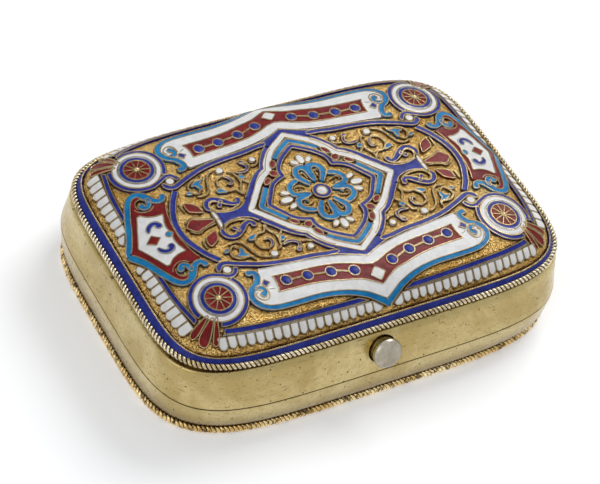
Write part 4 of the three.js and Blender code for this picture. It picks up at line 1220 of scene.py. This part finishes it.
SHORT_TIPS = [(3, 47.2), (15.4, 47.25), (20, 47.0), (23.3, 46.4), (25, 46.0)]
SHORT_ROOTS = [(3, 45.9), (5.7, 45.2), (8, 44.95), (15, 44.7), (20, 44.15), (25, 43.35)]
SHORT_FIRST = [(47.1, 5.5), (46.4, 5.5), (45.7, 5.3), (46.0, 4.6), (46.5, 3.6), (46.9, 3.5), (47.25, 4.3)]
SHORT_LINE_OUTER = [
    (44.75, 8.2), (44.65, 10), (44.6, 13), (44.4, 16), (44.0, 19), (43.5, 21.4), (43.0, 23.6),
]
SHORT_LINE_INNER = [
    (43.9, 9.4), (43.8, 11), (43.7, 13), (43.5, 16), (43.1, 19), (42.6, 21.4), (42.2, 23.2),
]
for corner, signs in CORNERS.items():
    piece = Piece(f"tongues_long_{corner}", signs)
    tongue_row(
        piece, LONG_TIPS, LONG_ROOTS, LONG_PLACES, LONG_FIRST, LONG_LINE_OUTER, LONG_LINE_INNER,
    )
    soft_wire(piece, LONG_WIRE, metal=grey)
    piece.build("lid", "white_enamel", f"white_tongues_long_{corner}")
    piece = Piece(f"tongues_short_{corner}", signs)
    tongue_row(
        piece, SHORT_TIPS, SHORT_ROOTS, SHORT_PLACES, SHORT_FIRST, SHORT_LINE_OUTER, SHORT_LINE_INNER,
        swap=True,
    )
    piece.build("lid", "white_enamel", f"white_tongues_short_{corner}")

# Corner roundels
ROUNDEL = (36.0, 20.3)
ROUNDEL_STRETCH = 1.07
ROUNDEL_WIRE = FINE_WIRE + 0.02
SPOKES = 10
CURL_RADIUS = 5.87
CURL_HALF_WIDTH = 0.47


def ring_run(radius, start=0.0, end=360.0):
    """An arc of the roundel between two angles in degrees."""
    count = max(12, int(abs(end - start) / 360 * 2 * math.pi * radius / 0.3))
    angles = np.radians(np.linspace(start, end, count))
    return np.column_stack([
        ROUNDEL[0] + radius * np.cos(angles),
        ROUNDEL[1] + radius * ROUNDEL_STRETCH * np.sin(angles),
    ])


def full_ring(radius):
    return ring_run(radius)[:-1]


S_CURL = [
    (34.3, 14.35), (32.6, 15.1), (31.6, 15.7), (30.7, 15.9), (29.9, 15.6), (29.3, 14.9), (28.95, 14.1),
]
for corner, signs in CORNERS.items():
    piece = Piece(f"roundel_{corner}", signs)
    band(piece, full_ring(5.25), full_ring(4.3), white, swell=0.04, closed=True)
    band(piece, full_ring(3.85), full_ring(3.1), cobalt, closed=True)
    field(piece, full_ring(2.75), red, swell=-0.12, grain=0.5)
    for radius, metal in ((2.92, gilt_wire), (3.9, grey), (4.22, grey), (5.32, pale_wire)):
        wire(piece, full_ring(radius), ROUNDEL_WIRE, True, metal)
    for spoke in range(SPOKES):
        angle = math.radians(360 / SPOKES * (spoke + 0.5))
        reach = np.array([(math.cos(angle), math.sin(angle) * ROUNDEL_STRETCH)])
        wire(piece, np.array(ROUNDEL) + reach * np.linspace(0.4, 2.85, 8)[:, None])
    field(piece, circle(*ROUNDEL, 0.62, 0.25), gilt_wire, swell=0.34, lift=0.12, grain=0.2)
    left = ring_run(CURL_RADIUS, 70, 216)
    right = np.vstack([ring_run(CURL_RADIUS, 22, -104), smooth(S_CURL)])
    for run in (left, right):
        sides = [beside(run, CURL_HALF_WIDTH), beside(run, -CURL_HALF_WIDTH)]
        band(piece, *sides, cobalt)
        wire(piece, np.vstack([sides[0], sides[1][::-1]]), closed=True, metal=pale_wire)
    field(piece, circle(30.9, 14.1, 0.92), white, swell=0.16, edges=FINE_WIRE, metal=pale_wire)
    piece.build("lid", "white_enamel", f"corner_roundel_{corner}")

# Red palmettes
PETALS = [
    [
        (38.25, 24.4), (38.6, 25.6), (39.05, 27.2), (39.6, 28.8), (40.2, 29.35), (40.9, 29.0), (40.6, 28),
        (39.8, 26.4), (38.7, 24.5),
    ],
    [
        (39.0, 24.3), (39.7, 25.5), (40.6, 26.9), (41.7, 28.2), (42.6, 28.5), (43.3, 28.0), (43.5, 27.2),
        (42.9, 26.2), (41.4, 25.2), (39.6, 24.1),
    ],
    [
        (39.9, 23.5), (41.3, 24.6), (42.6, 25.5), (43.6, 26.0), (44.3, 26.0), (44.75, 25.4), (44.3, 24.7),
        (43.2, 24.2), (41.6, 23.65), (40.1, 23.1),
    ],
]
for corner, signs in CORNERS.items():
    piece = Piece(f"palmette_{corner}", signs)
    for petal in PETALS:
        outlined(piece, petal, red, -0.08, edges=WIRE)
    piece.build("lid", "red_enamel", f"red_palmette_{corner}")

# Long cartouches
STRIP_WIRE = FINE_WIRE + 0.03
LONG_BLUE = [
    (0, 31.75, 1.12), (1, 31.3, 1.12), (2, 30.8, 1.12), (4, 29.75, 1.12), (6, 28.95, 1.12),
    (8, 28.3, 1.12), (10, 27.8, 1.12), (12, 27.45, 1.12), (14, 27.22, 1.12), (16, 27.12, 1.12),
    (20, 27.08, 1.12), (23, 26.98, 1.12), (25, 26.8, 1.12), (26.5, 26.45, 1.12), (27.8, 25.8, 1.17),
    (28.7, 24.95, 1.22), (29.25, 23.8, 1.27), (29.3, 22.6, 1.37), (28.85, 21.6, 1.47),
    (28, 20.75, 1.47), (27, 20.05, 1.37), (26.3, 19.2, 1.37), (25.85, 18.2, 1.37), (25.8, 17.3, 1.32),
    (26.3, 16.7, 1.22), (27.0, 16.65, 1.12),
]
LONG_HOOK = [
    (27.7, 21.1, 1.1), (26.8, 21.15, 1.05), (26.1, 21.6, 1.0), (25.95, 22.4, 1.0), (26.5, 23.0, 1.0),
]
LONG_SPIRAL = [
    (25.2, 21.9), (25.3, 23.3), (25.9, 24.2), (26.9, 24.4), (27.9, 23.7), (28.2, 22.7), (27.7, 22.05),
]
WHITE_OUTER = [
    (0, 31.0), (2, 30.25), (4, 29.25), (6, 28.4), (8, 27.75), (10, 27.3), (12, 26.95), (16, 26.6),
    (20, 26.55), (23.5, 26.4), (25.8, 26.0), (27.3, 25.2), (28.2, 24.2), (28.6, 23.2), (28.3, 22.2),
]
WHITE_END = [(27.4, 21.4), (26.6, 20.7), (25.8, 19.6), (25.3, 18.4), (25.1, 17.2)]
WHITE_INNER = [
    (24.9, 16.4), (22, 16.75), (20, 16.95), (16, 17.35), (12, 17.85), (8, 18.5), (4, 19.45), (2, 20.2),
    (0, 21.1),
]
RED_OUTER = [
    (0, 28.5), (2, 27.35), (4, 26.3), (6, 25.75), (8, 25.3), (12, 24.35), (16, 23.85), (20, 23.65),
    (23.2, 23.55),
]
RED_END = [(23.2, 23.55), (22.75, 22.4), (22.55, 21.2), (22.5, 20), (22.6, 19.15)]
RED_INNER = [
    (22.6, 19.15), (20, 19.4), (16, 19.7), (12, 20.0), (8, 20.6), (6, 21.2), (4, 21.9), (2, 22.8),
    (0, 23.3),
]
END_DIAMOND = [(23.85, 20.5), (25.1, 21.5), (25.75, 20.5), (24.85, 19.4)]
END_WIRE = [(23.6, 22.4), (24.1, 22.15), (24.6, 22.0)]
MIDDLE_DIAMOND = [(0, 27.7), (0.9, 26.9), (1.75, 26.0), (0.95, 25.1), (0, 24.3)]
LONG_BEADS = [(4.75, 23.7), (9.85, 22.35), (15.2, 21.6), (20.25, 21.2)]
BEAD_STRETCH = 1.06
for name, side in LONG_SIDES.items():
    piece = Piece(f"long_cartouche_{name}")
    outer = joined(smooth(WHITE_OUTER), smooth(WHITE_END), smooth(WHITE_INNER))
    red_half = joined(smooth(RED_OUTER), smooth(RED_END), smooth(RED_INNER))
    for half in HALVES.values():
        piece.signs = (half, side)
        field(piece, np.vstack([outer, red_half[::-1]]), white, swell=-0.04)
        field(piece, red_half, red, swell=-0.1)
        stroke(piece, LONG_BLUE, turquoise, 0.72, metal=pale_wire, on_axis=True)
        stroke(piece, LONG_HOOK, turquoise, 0.72, metal=pale_wire, lift=0.07)
        soft_wire(piece, LONG_SPIRAL, metal=pale_wire, lift=0.06)
        outlined(piece, END_DIAMOND, cobalt, 0.04, soft=False, metal=pale_wire, lift=0.09)
        soft_wire(piece, END_WIRE, 0.12, grey)
        for index, (x, y) in enumerate(LONG_BEADS):
            field(piece, circle(x, y, 1.05, stretch=BEAD_STRETCH), cobalt, swell=0.16, lift=0.03)
            wire(piece, circle(x, y, 1.24, stretch=BEAD_STRETCH), WIRE, True, pale_wire)
            if index:
                before = LONG_BEADS[index - 1]
                for shift in (-0.13, 0.13):
                    run = [(before[0] + 1.3, before[1] - 0.2 + shift), (x - 1.3, y + 0.15 + shift)]
                    soft_wire(piece, run, 0.11, pale_wire)
    piece.signs = (1, side)
    for run in (RED_OUTER, RED_INNER[::-1]):
        wire(piece, mirrored_x(smooth(run)), STRIP_WIRE, metal=pale_wire)
    for half in HALVES.values():
        piece.signs = (half, side)
        soft_wire(piece, RED_END, STRIP_WIRE, pale_wire)
    piece.signs = (1, side)
    wire(piece, mirrored_x(smooth(WHITE_INNER[::-1])), metal=grey)
    rim = even_loop(np.vstack([MIDDLE_DIAMOND, turned(MIDDLE_DIAMOND[1:-1], -1, 1)[::-1]]))
    field(piece, rim, white, swell=0.1, lift=0.03, edges=FINE_WIRE, metal=pale_wire)
    piece.build("lid", "white_enamel", f"long_cartouche_{name}")

# Side cartouches
SIDE_BLUE = [
    (47.2, 0.1, 1.22), (46.75, 0.8, 1.22), (46, 2.3, 1.27), (45.2, 4.1, 1.27), (44.5, 6, 1.27),
    (43.8, 8, 1.27), (43, 10, 1.27), (42.2, 11.8, 1.27), (41.3, 13.0, 1.32), (40.3, 13.5, 1.32),
    (39.3, 13.35, 1.37), (38.45, 12.7, 1.57), (37.9, 11.8, 1.72), (37.3, 10.9, 1.57),
    (36.6, 10.15, 1.37), (35.6, 9.7, 1.22), (34.8, 9.95, 1.17), (34.4, 10.7, 1.12),
]
SIDE_HOOK = [
    (37.9, 11.4, 1.3), (37.9, 10.5, 1.1), (38.15, 9.6, 1.05), (38.8, 9.0, 1.0), (39.5, 9.15, 1.0),
    (39.7, 9.8, 1.0),
]
SIDE_SPIRAL = [(38.7, 11.2), (39.1, 11.75), (39.8, 11.85), (40.6, 11.3), (40.9, 10.3), (40.7, 9.3)]
SIDE_FIELD = [
    (36.3, 0), (36.25, 2), (35.95, 4), (35.55, 6), (34.9, 8), (34.6, 8.5), (35.6, 8.7), (36.7, 9.0),
    (37.3, 9.2), (38.0, 8.5), (39.3, 8.15), (40.5, 8.6), (41.0, 9.7), (40.9, 10.9), (40.1, 11.9),
    (39.2, 12.0), (38.9, 12.5), (39.6, 12.9), (40.6, 12.8), (41.5, 11.6), (42.1, 9.9), (42.9, 7.7),
    (43.7, 5.7), (44.4, 4.1), (45.2, 2.3), (46.2, 0.4), (46.3, 0),
]
SIDE_WIRE = [(36.3, 0), (36.25, 2), (35.95, 4), (35.55, 6), (34.85, 8.2)]
HOOK_WIRE = [(37.4, 8.8), (38.3, 8.05), (39.6, 7.95), (40.9, 8.7), (41.5, 9.7)]
SHIELD = [
    (37.35, 0), (37.45, 1.3), (37.55, 2.2), (37.3, 3.6), (36.75, 5.1), (36.6, 5.7), (37.5, 5.75),
    (38.6, 5.9), (39.8, 6.4), (40.6, 7.05), (41.2, 7.7), (41.95, 7.45), (42.5, 5.95), (43.2, 4.3),
    (43.95, 2.35), (44.7, 0.5), (44.85, 0),
]
COMMA = [(41.5, 2.3, 0.8), (41.1, 3.4, 1.0), (40.1, 4.1, 1.05), (39.1, 3.95, 1.0), (38.8, 3.2, 0.9)]
COMMA_WIRE = [(38.2, 2.4), (38.1, 3.7), (38.9, 4.7), (40.2, 4.8), (41.3, 4.1), (41.8, 3.1)]
SHIELD_DIAMOND = [(39.9, 0), (41.4, 1.4), (43, 0), (41.4, -1.4)]
for name, half in HALVES.items():
    piece = Piece(f"side_cartouche_{name}", (half, 1))
    field(piece, mirrored_loop(evenly(SIDE_FIELD)), red, swell=-0.08)
    shield = mirrored_loop(evenly(SHIELD))
    field(piece, shield, white, swell=-0.03, lift=0.04, edges=ROUNDEL_WIRE, metal=pale_wire)
    for sign in (-1, 1):
        piece.signs = (half, sign)
        stroke(piece, SIDE_BLUE, turquoise, 0.68, metal=pale_wire)
        stroke(piece, SIDE_HOOK, turquoise, 0.72, metal=pale_wire, lift=0.05)
        soft_wire(piece, SIDE_SPIRAL, metal=pale_wire)
        soft_wire(piece, SIDE_WIRE)
        soft_wire(piece, HOOK_WIRE, metal=pale_wire)
        stroke(piece, COMMA, cobalt, 0.75, metal=grey, lift=0.08)
        soft_wire(piece, COMMA_WIRE, 0.1, grey)
    piece.signs = (half, 1)
    raised = {"lift": 0.08, "edges": FINE_WIRE, "metal": pale_wire}
    field(piece, even_loop(SHIELD_DIAMOND), red, swell=0.04, **raised)
    field(piece, circle(37.75, 0, 0.8), turquoise, swell=0.12, **raised)
    piece.build("lid", "red_enamel", f"side_cartouche_{name}")

# Oval lines
OVAL = [(35.5, 0), (35.4, 1.6), (35.1, 3.2), (34.6, 4.8), (33.8, 6.6), (33, 8.2), (32, 9.7), (31.1, 10.9)]
for name, half in HALVES.items():
    piece = Piece(f"oval_{name}")
    ribbon(piece, turned(mirrored_y(smooth(OVAL)), half, 1), 1.3, cobalt)
    piece.build("lid", "cobalt_enamel", f"oval_line_{name}")

# Cobalt straps
STRAP = [
    (5.3, 17.55), (8, 17.4), (10, 17.05), (12, 16.75), (16, 16.45), (18, 16.2), (20, 15.9), (22, 15.5),
    (24, 14.9), (26, 14.1), (28, 13.3), (29.5, 12.6), (30.5, 12.2), (31.5, 12.25), (32.3, 12.9),
    (32.75, 13.9),
]
STRAP_TOP = [(0, 20.8), (1, 20.4), (2, 19.95), (4, 19.1), (6, 18.4), (7.6, 17.9)]
STRAP_UNDER = [(0, 19.6), (1, 18.95), (2, 18.25), (4, 16.95), (5, 16.5), (5.5, 17.0), (7.4, 17.2)]
for name, side in LONG_SIDES.items():
    piece = Piece(f"strap_{name}")
    top = smooth(STRAP_TOP)
    under = evenly(STRAP_UNDER, count=len(top))
    for half in HALVES.values():
        piece.signs = (half, side)
        field(piece, np.vstack([top, under[::-1]]), cobalt, swell=-0.08)
        stroke(piece, STRAP, cobalt, width=1.15, metal=pale_wire)
    piece.signs = (1, side)
    wire(piece, mirrored_x(top), metal=pale_wire)
    piece.build("lid", "cobalt_enamel", f"cobalt_strap_{name}")

# Medallion frame
MEDALLION_OUTER = [
    [(5.4, 16.2), (6.6, 15.2), (7.6, 14), (8.4, 12.8), (9.1, 11.6), (9.6, 10.5)],
    [(9.6, 10.5), (10.8, 9.85), (12, 9), (13, 8), (14, 6.9), (15, 5.6), (16, 4.4), (16.9, 3.4)],
]
MEDALLION_WHITE = [
    [
        (0, 18.8, 1.3), (2, 17.4, 1.3), (4, 16, 1.3), (5.5, 14.8, 1.45), (6.9, 13.1, 1.7),
        (7.8, 11.8, 1.85), (8.4, 10.5, 1.85), (8.6, 9.9, 1.8),
    ],
    [
        (8.6, 9.9, 1.8), (10.2, 8.95, 1.75), (11.4, 7.85, 1.6), (12.6, 6.55, 1.4), (13.8, 5, 1.3),
        (15, 3.5, 1.3), (16.3, 1.9, 1.3), (17.9, 0, 1.3),
    ],
]
MEDALLION_INNER = [
    [
        (0, 14.9), (1, 14.35), (2.2, 13.5), (3.4, 12.6), (4.3, 11.8), (5.2, 10.8), (5.9, 9.8),
        (6.3, 8.8), (6.4, 7.9), (6.35, 6.95),
    ],
    [
        (6.35, 6.95), (7.4, 6.65), (8.6, 6.1), (9.7, 5.3), (10.5, 4.4), (11.2, 3.3), (11.9, 2.2),
        (12.7, 1), (13.25, 0),
    ],
]
MEDALLION_BLUE_LONG = [(0, 16.7), (1.5, 15.85), (3, 14.8), (4.5, 13.6), (5.6, 12.6)]
MEDALLION_BLUE_SHORT = [(15.2, 0), (14.8, 0.6), (13.6, 2.2), (12.6, 3.6), (11.5, 5.0)]
MEDALLION_WIDTH = 1.3


def soft_parts(parts):
    """One run of several soft parts, with corners where they meet."""
    return joined(*(smooth(part) for part in parts))


piece = Piece("medallion")
white_run = mirrored_round(soft_parts(MEDALLION_WHITE))
ribbon(piece, white_run, None, white, closed=True, lift=0.05)
ribbon(piece, mirrored_round(soft_parts(MEDALLION_INNER)), 1.0, cobalt, closed=True)
for half in HALVES.values():
    for side in LONG_SIDES.values():
        ribbon(piece, turned(soft_parts(MEDALLION_OUTER), half, side), MEDALLION_WIDTH, cobalt)
    run = turned(mirrored_y(smooth(MEDALLION_BLUE_SHORT)), half, 1)
    ribbon(piece, run, MEDALLION_WIDTH, turquoise)
for side in LONG_SIDES.values():
    run = turned(mirrored_x(smooth(MEDALLION_BLUE_LONG)), 1, side)
    ribbon(piece, run, MEDALLION_WIDTH, turquoise)
for signs in CORNERS.values():
    piece.signs = signs
    leaf(piece, 7.9, 8.3, red, 1.0, 0.9, 45, pale_wire, 0.12)
    leaf(piece, 6.8, 11.0, red, 1.25, 0.68, -62, pale_wire, 0.12)
    leaf(piece, 10.45, 6.5, red, 1.15, 0.66, -42, pale_wire, 0.12)
piece.build("lid", "white_enamel", "medallion_frame")

# Flower in the medallion
LOBE_STEM = [(0, 3), (0, 5), (0, 7), (0, 8.35)]
LOBE_OUTER = [
    (0, 8.35), (0.7, 8.75), (1.5, 8.85), (2.9, 8.35), (3.8, 7.1), (3.95, 5.6), (3.75, 4.75), (2.7, 3.4),
    (1.85, 2.35),
]
LOBE_INNER = [
    (0.35, 3.3), (0.7, 4.5), (0.8, 6.1), (1.0, 6.95), (1.45, 7.4), (2.05, 7.3), (2.5, 6.7), (2.55, 5.9),
    (2.2, 5.0), (1.65, 4.0), (1.15, 3.1),
]
SIDE_LOBE = [
    (3.6, 4.8, 1.2), (4.7, 4.55, 1.3), (5.8, 4.0, 1.3), (6.6, 3.1, 1.3), (6.85, 2.1, 1.3),
    (6.6, 1.15, 1.3), (5.8, 0.65, 1.2), (4.6, 0.45, 1.3), (3.4, 0.25, 0.8), (2.6, 0.1, 0.4),
]
LOBE_WIRE = [(1.3, 4.4), (1.35, 5.5), (1.65, 6.4), (2.05, 6.35), (2.05, 5.9)]
SIDE_LOBE_WIRE = [(3.4, 2.3), (4.4, 2.9), (5.3, 2.9), (5.7, 2.3), (5.3, 1.8)]
piece = Piece("flower")
outer = joined(evenly(LOBE_STEM), smooth(LOBE_OUTER))
inner = smooth(LOBE_INNER)
for signs in CORNERS.values():
    piece.signs = signs
    field(piece, np.vstack([outer, inner[::-1]]), turquoise, grain=0.4)
    for run in (outer[outer[:, 0] > 0.1], inner):
        wire(piece, run)
    stroke(piece, SIDE_LOBE, turquoise)
    outlined(piece, [(4.05, 0.9), (4.45, 2.1), (5.0, 0.9)], turquoise, soft=False)
    soft_wire(piece, LOBE_WIRE)
    soft_wire(piece, SIDE_LOBE_WIRE)
    leaf(piece, 1.75, 9.95, white, 1.0, 0.62, 40, pale_wire)
    leaf(piece, 8.25, 2.1, white, 1.1, 0.6, 25, pale_wire)
piece.signs = (1, 1)
for sign in (-1, 1):
    leaf(piece, 0, 10.5 * sign, white, 0.85, 1.4, 0, pale_wire)
    leaf(piece, 8.9 * sign, 0, white, 1.5, 0.85, 0, pale_wire)
band(piece, circle(0, 0, 2.1, 0.3), circle(0, 0, 1.3, 0.3), cobalt, closed=True)
for radius in (1.25, 2.15):
    wire(piece, circle(0, 0, radius, 0.3), closed=True)
field(piece, circle(0, 0, 1.1), white, swell=0.3, lift=0.05)
piece.build("lid", "turquoise_enamel", "medallion_flower")

# Bells and spades
BELL_BACK = [(18.2, 0), (17.6, 0.9), (16.9, 1.8), (16.35, 2.6), (16.6, 3.2)]
BELL_SIDE = [
    (17.6, 3.4), (18.1, 2.8), (18.7, 2.2), (19.6, 1.7), (21, 1.25), (22.5, 1.15), (24, 1.35),
    (25.0, 1.75), (25.55, 2.05),
]
SPADE = [
    (27.0, 0), (27.05, 0.35), (28, 0.6), (29, 0.95), (30.4, 1.35), (31.4, 1.9), (32.2, 1.6),
    (32.9, 0.9), (33.6, 0),
]
SPADE_WIRE = [(27.2, 0.95), (29.2, 1.4), (30.5, 1.85), (31.3, 2.4), (32.4, 2.1), (33.3, 1.2)]
SPADE_BAR = [(25.75, 0.1), (26.45, 0.1), (26.55, 1.2), (26.5, 2.35), (26.0, 2.35), (25.75, 1.2)]
for name, half in HALVES.items():
    piece = Piece(f"bell_{name}", (half, 1))
    bell = np.vstack([smooth(BELL_BACK, FINE_STEP), smooth(BELL_SIDE, FINE_STEP), [(25.6, 0)]])
    field(piece, mirrored_loop(bell), cobalt, swell=0.04)
    field(piece, mirrored_loop(smooth(SPADE, FINE_STEP)), red, swell=0.02, edges=FINE_WIRE)
    for sign in (-1, 1):
        piece.signs = (half, sign)
        soft_wire(piece, BELL_SIDE)
        soft_wire(piece, SPADE_WIRE)
        outlined(piece, SPADE_BAR, white, 0.05, metal=pale_wire)
    piece.build("lid", "cobalt_enamel", f"bell_and_spade_{name}")

# Scrolls of the side fields
BLUE_S = [
    (26.4, 2.9, 0.99), (26.8, 3.8, 1.04), (26.6, 4.75, 1.09), (26, 5.55, 1.09), (25, 5.95, 1.14),
    (24, 5.7, 1.19), (23.1, 5, 1.39), (22.3, 4.35, 1.39), (21.5, 3.65, 1.19), (20.7, 3.15, 1.04),
    (19.9, 3.0, 0.99), (19.3, 3.4, 0.94), (19.25, 4.0, 0.94),
]
BLUE_TAIL = [(22.9, 4.9, 0.9), (23.4, 4.2, 0.7), (23.9, 3.55, 0.6)]
RED_LEAF = [
    (28.2, 3), (28.4, 4.3), (28.8, 5.4), (29.6, 6.1), (31, 6.8), (31.25, 5.3), (30.9, 4.1), (29.8, 3.5),
]
RED_LEAF_WIRE = [(32.1, 7.0), (32.15, 5.7), (32.0, 4.5)]
CORNER_CURL = [
    (13.4, 13.9), (12.6, 13.1), (12.5, 12.2), (13.2, 11.5), (14.2, 11.25), (15.2, 11.4), (15.8, 11.6),
]
MIDDLE_CURL = [(19, 11.4), (18.2, 10.8), (17.8, 9.9), (17.95, 9.1), (18.5, 8.75), (19.05, 9.1)]
BRANCHES = [
    [(17, 4.8), (17.3, 6), (16.9, 7.3), (16.2, 8.4), (16.2, 10), (16.7, 11.8), (17.6, 12.3)],
    [(17.4, 5), (18.2, 6.6), (20, 6.9), (21.3, 8.4), (21.4, 10), (20.7, 11.2), (19.2, 11.8)],
    [(20.2, 13.9), (22, 13), (23, 11.4), (23.6, 9.5), (24.3, 8.1), (25.6, 7.3), (27.2, 7.6)],
    [(23.5, 13.5), (24.2, 12.2), (26.5, 12.2), (27.9, 10.9), (27.6, 9.4), (26.7, 8.5), (25.9, 9.2)],
    [(24.1, 4.9), (25, 5.1), (25.9, 4.3), (25.8, 3.2), (24.9, 2.2), (23, 1.75), (21, 2), (19.6, 2.6)],
    [(14.4, 7.6), (15.2, 8.6), (15.9, 9.0)],
    [(9.3, 13.0), (10.4, 12.2), (11.6, 12.0)],
]
SMALL_LEAF = [(20.1, 6.8), (20.8, 7.6), (21.5, 8.25), (22.4, 8.0), (22.3, 7.3), (21.2, 6.9)]
LARGE_LEAF = [
    (23.7, 12.6), (25, 12.1), (26.2, 11.8), (27.2, 11.0), (26.2, 10.8), (25.8, 9.9), (25.4, 9.2),
    (24.9, 10.2), (25.0, 11.1), (24.3, 11.8),
]
END_LEAF = [(27.9, 8.8), (28.3, 9.65), (29.3, 9.45), (28.7, 8.8)]
for corner, signs in CORNERS.items():
    piece = Piece(f"scroll_{corner}", signs)
    stroke(piece, BLUE_S, cobalt, 0.58)
    stroke(piece, BLUE_TAIL, cobalt, 0.48)
    outlined(piece, RED_LEAF, red, 0.02)
    soft_wire(piece, RED_LEAF_WIRE, WIRE)
    stroke(piece, CORNER_CURL, cobalt, width=0.6)
    leaf(piece, 13.2, 14.0, cobalt, 0.7, 0.5, 50)
    leaf(piece, 10.4, 14.1, white, 0.75, 0.72, 0, pale_wire)
    leaf(piece, 19.0, 13.4, white, 0.85, 0.82, 0, pale_wire)
    stroke(piece, MIDDLE_CURL, cobalt, width=0.5)
    piece.build("lid", "cobalt_enamel", f"blue_scroll_{corner}")
    piece = Piece(f"branch_{corner}", signs)
    for run in BRANCHES:
        soft_wire(piece, run)
        soft_wire(piece, beside(smooth(run, 0.5), 0.24), 0.1)
    leaf(piece, 15.2, 9.9, turquoise, 0.72, 0.55, 50)
    for points, swell in ((SMALL_LEAF, 0.06), (LARGE_LEAF, 0.05), (END_LEAF, 0.05)):
        outlined(piece, points, turquoise, swell)
    piece.build("lid", "turquoise_enamel", f"leafy_branch_{corner}")


# Plaque ground, struck all over between the wires
GROUND_ROWS = 260
GROUND_COLUMNS = 380
GROUND_INSET = (1.42, 0.72)


def waves(x, y, scale, seed):
    """Smooth noise over the plane."""
    places = zip(x.ravel() * scale, y.ravel() * scale)
    return np.array([noise.noise(Vector((u, v, seed))) for u, v in places]).reshape(x.shape)


half_length = CROWN_HALF_LENGTH - GROUND_INSET[0]
half_width = CROWN_HALF_WIDTH - GROUND_INSET[1]
levels = np.concatenate([np.linspace(-1, 1, GROUND_ROWS), [-0.999, 0.999]])
levels = np.unique(np.round(levels, 4))
spans = half_length * (1 - np.abs(levels) ** PLAQUE_ROUNDNESS) ** (1 / PLAQUE_ROUNDNESS)
x = np.maximum(spans, 0.02)[:, None] * np.linspace(-1, 1, GROUND_COLUMNS)[None]
y = half_width * levels[:, None] + 0 * x
depth = waves(x, y, 1.5, 3.1) * 0.09 + waves(x, y, 0.35, 9.4) * 0.05
top = on_crown(x, y, depth - GROUND_DEPTH)
tree = kdtree.KDTree(len(wire_places))
for index, place in enumerate(wire_places):
    tree.insert((*place, 0), index)
tree.balance()
reach = np.array([tree.find((u, v, 0))[2] for u, v in zip(x.ravel(), y.ravel())]).reshape(x.shape)
# Painted shade on the ground: darker beside the wires and where the waves leave it lower.
shade = np.clip((0.5 - reach) / 0.32, 0, 1)
painted_ground_shade = np.clip(0.16 - 2.6 * depth + 0.84 * shade, 0, 1)
ground = Piece("plaque_ground")
ground.grid(top[::-1], gold_ground, painted_shade=painted_ground_shade[::-1])
edge = rounded_outline(half_length, half_width, PLAQUE_ROUNDNESS, 0.6)[::-1]
skirt = on_crown(edge[:, :1], edge[:, 1:], np.array([[-GROUND_DEPTH - 0.1, -PLAQUE_BOTTOM]]))
ground.grid(skirt, gilt_plain, closed=True)
ground.build("lid", "gold_ground", "top_plaque", sharp=180)


# Floor, lights and camera

FLOOR_HALF = 3.0
FLOOR_COLOUR = rgb(250, 250, 250)
FLOOR_MIRRORED = (0.25, 0.25, 0.25, 1)
FLOOR_GLOW = (0.29, 0.295, 0.305, 1)
NO_GLOW = (0, 0, 0, 1)
FULL_GLOW = (1, 1, 1, 1)


def floor_finish():
    """A white floor that keeps the shadow.

    What it glows with lifts it to white for the camera. Rays that a mirror or a glass surface
    sends on see it as plain white, so the metal reflects a studio and no grey floor.
    """
    material, tree, shader, _ = start_finish("floor", FLOOR_COLOUR, 0.0, 0.9)
    shader.inputs["Specular IOR Level"].default_value = 0.0
    path = tree.node("ShaderNodeLightPath")
    mirrored = tree.most(path.outputs["Is Glossy Ray"], path.outputs["Is Transmission Ray"])
    seen = tree.mix(path.outputs["Is Camera Ray"], NO_GLOW, FLOOR_GLOW)
    tree.feed(shader.inputs["Emission Color"], tree.mix(mirrored, seen, FULL_GLOW))
    tree.feed(shader.inputs["Base Color"], tree.mix(mirrored, FLOOR_COLOUR, FLOOR_MIRRORED))
    shader.inputs["Emission Strength"].default_value = 1.0
    return material


floor_corners = [(x * FLOOR_HALF, y * FLOOR_HALF, 0.0) for x, y in ((-1, -1), (1, -1), (1, 1), (-1, 1))]
mesh = bpy.data.meshes.new("floor")
mesh.from_pydata(floor_corners, [], [(0, 1, 2, 3)])
mesh.materials.append(floor_finish())
plane = bpy.data.objects.new("floor", mesh)
bpy.context.scene.collection.objects.link(plane)

world = bpy.data.worlds.new("studio")
bpy.context.scene.world = world
world.use_nodes = True
sky = Tree(world.node_tree)
background = world.node_tree.nodes["Background"]
path = sky.node("ShaderNodeLightPath")
seen = sky.most(path.outputs["Is Camera Ray"], path.outputs["Is Glossy Ray"])
seen = sky.most(seen, path.outputs["Is Transmission Ray"])
background.inputs["Color"].default_value = (0.95, 0.98, 1, 1)
sky.feed(background.inputs["Strength"], sky.step(seen, 0.0, 1.0, 0.36, 1.0))


def soft_light(name, place, target, size, power):
    """An area light at a place in metres, turned to its target."""
    data = bpy.data.lights.new(name, "AREA")
    data.shape = "RECTANGLE"
    data.size, data.size_y = size
    data.energy = power
    light = bpy.data.objects.new(name, data)
    light.location = Vector(place)
    light.rotation_euler = (Vector(target) - Vector(place)).to_track_quat("-Z", "Y").to_euler()
    bpy.context.scene.collection.objects.link(light)


soft_light("key", (0.43, 0.22, 0.57), (0, 0, 0), (0.42, 0.34), 2.9)
soft_light("fill", (-0.55, -0.2, 0.42), (0, 0, 0.01), (0.5, 0.4), 1.0)

CAMERA_PLACE = Vector((-0.21736, -0.28756, 0.37772))
CAMERA_RIGHT = Vector((0.8729, -0.46556, 0.14592))
CAMERA_UP = Vector((0.25006, 0.68374, 0.68554))
camera_data = bpy.data.cameras.new("camera")
camera_data.lens = 135.36
camera_data.sensor_width = 36
camera = bpy.data.objects.new("camera", camera_data)
back = CAMERA_RIGHT.cross(CAMERA_UP)
turn = Matrix((CAMERA_RIGHT, CAMERA_UP, back)).transposed()
camera.matrix_world = Matrix.Translation(CAMERA_PLACE) @ turn.to_4x4()
bpy.context.scene.collection.objects.link(camera)
bpy.context.scene.camera = camera
bpy.context.scene.view_settings.view_transform = "Standard"
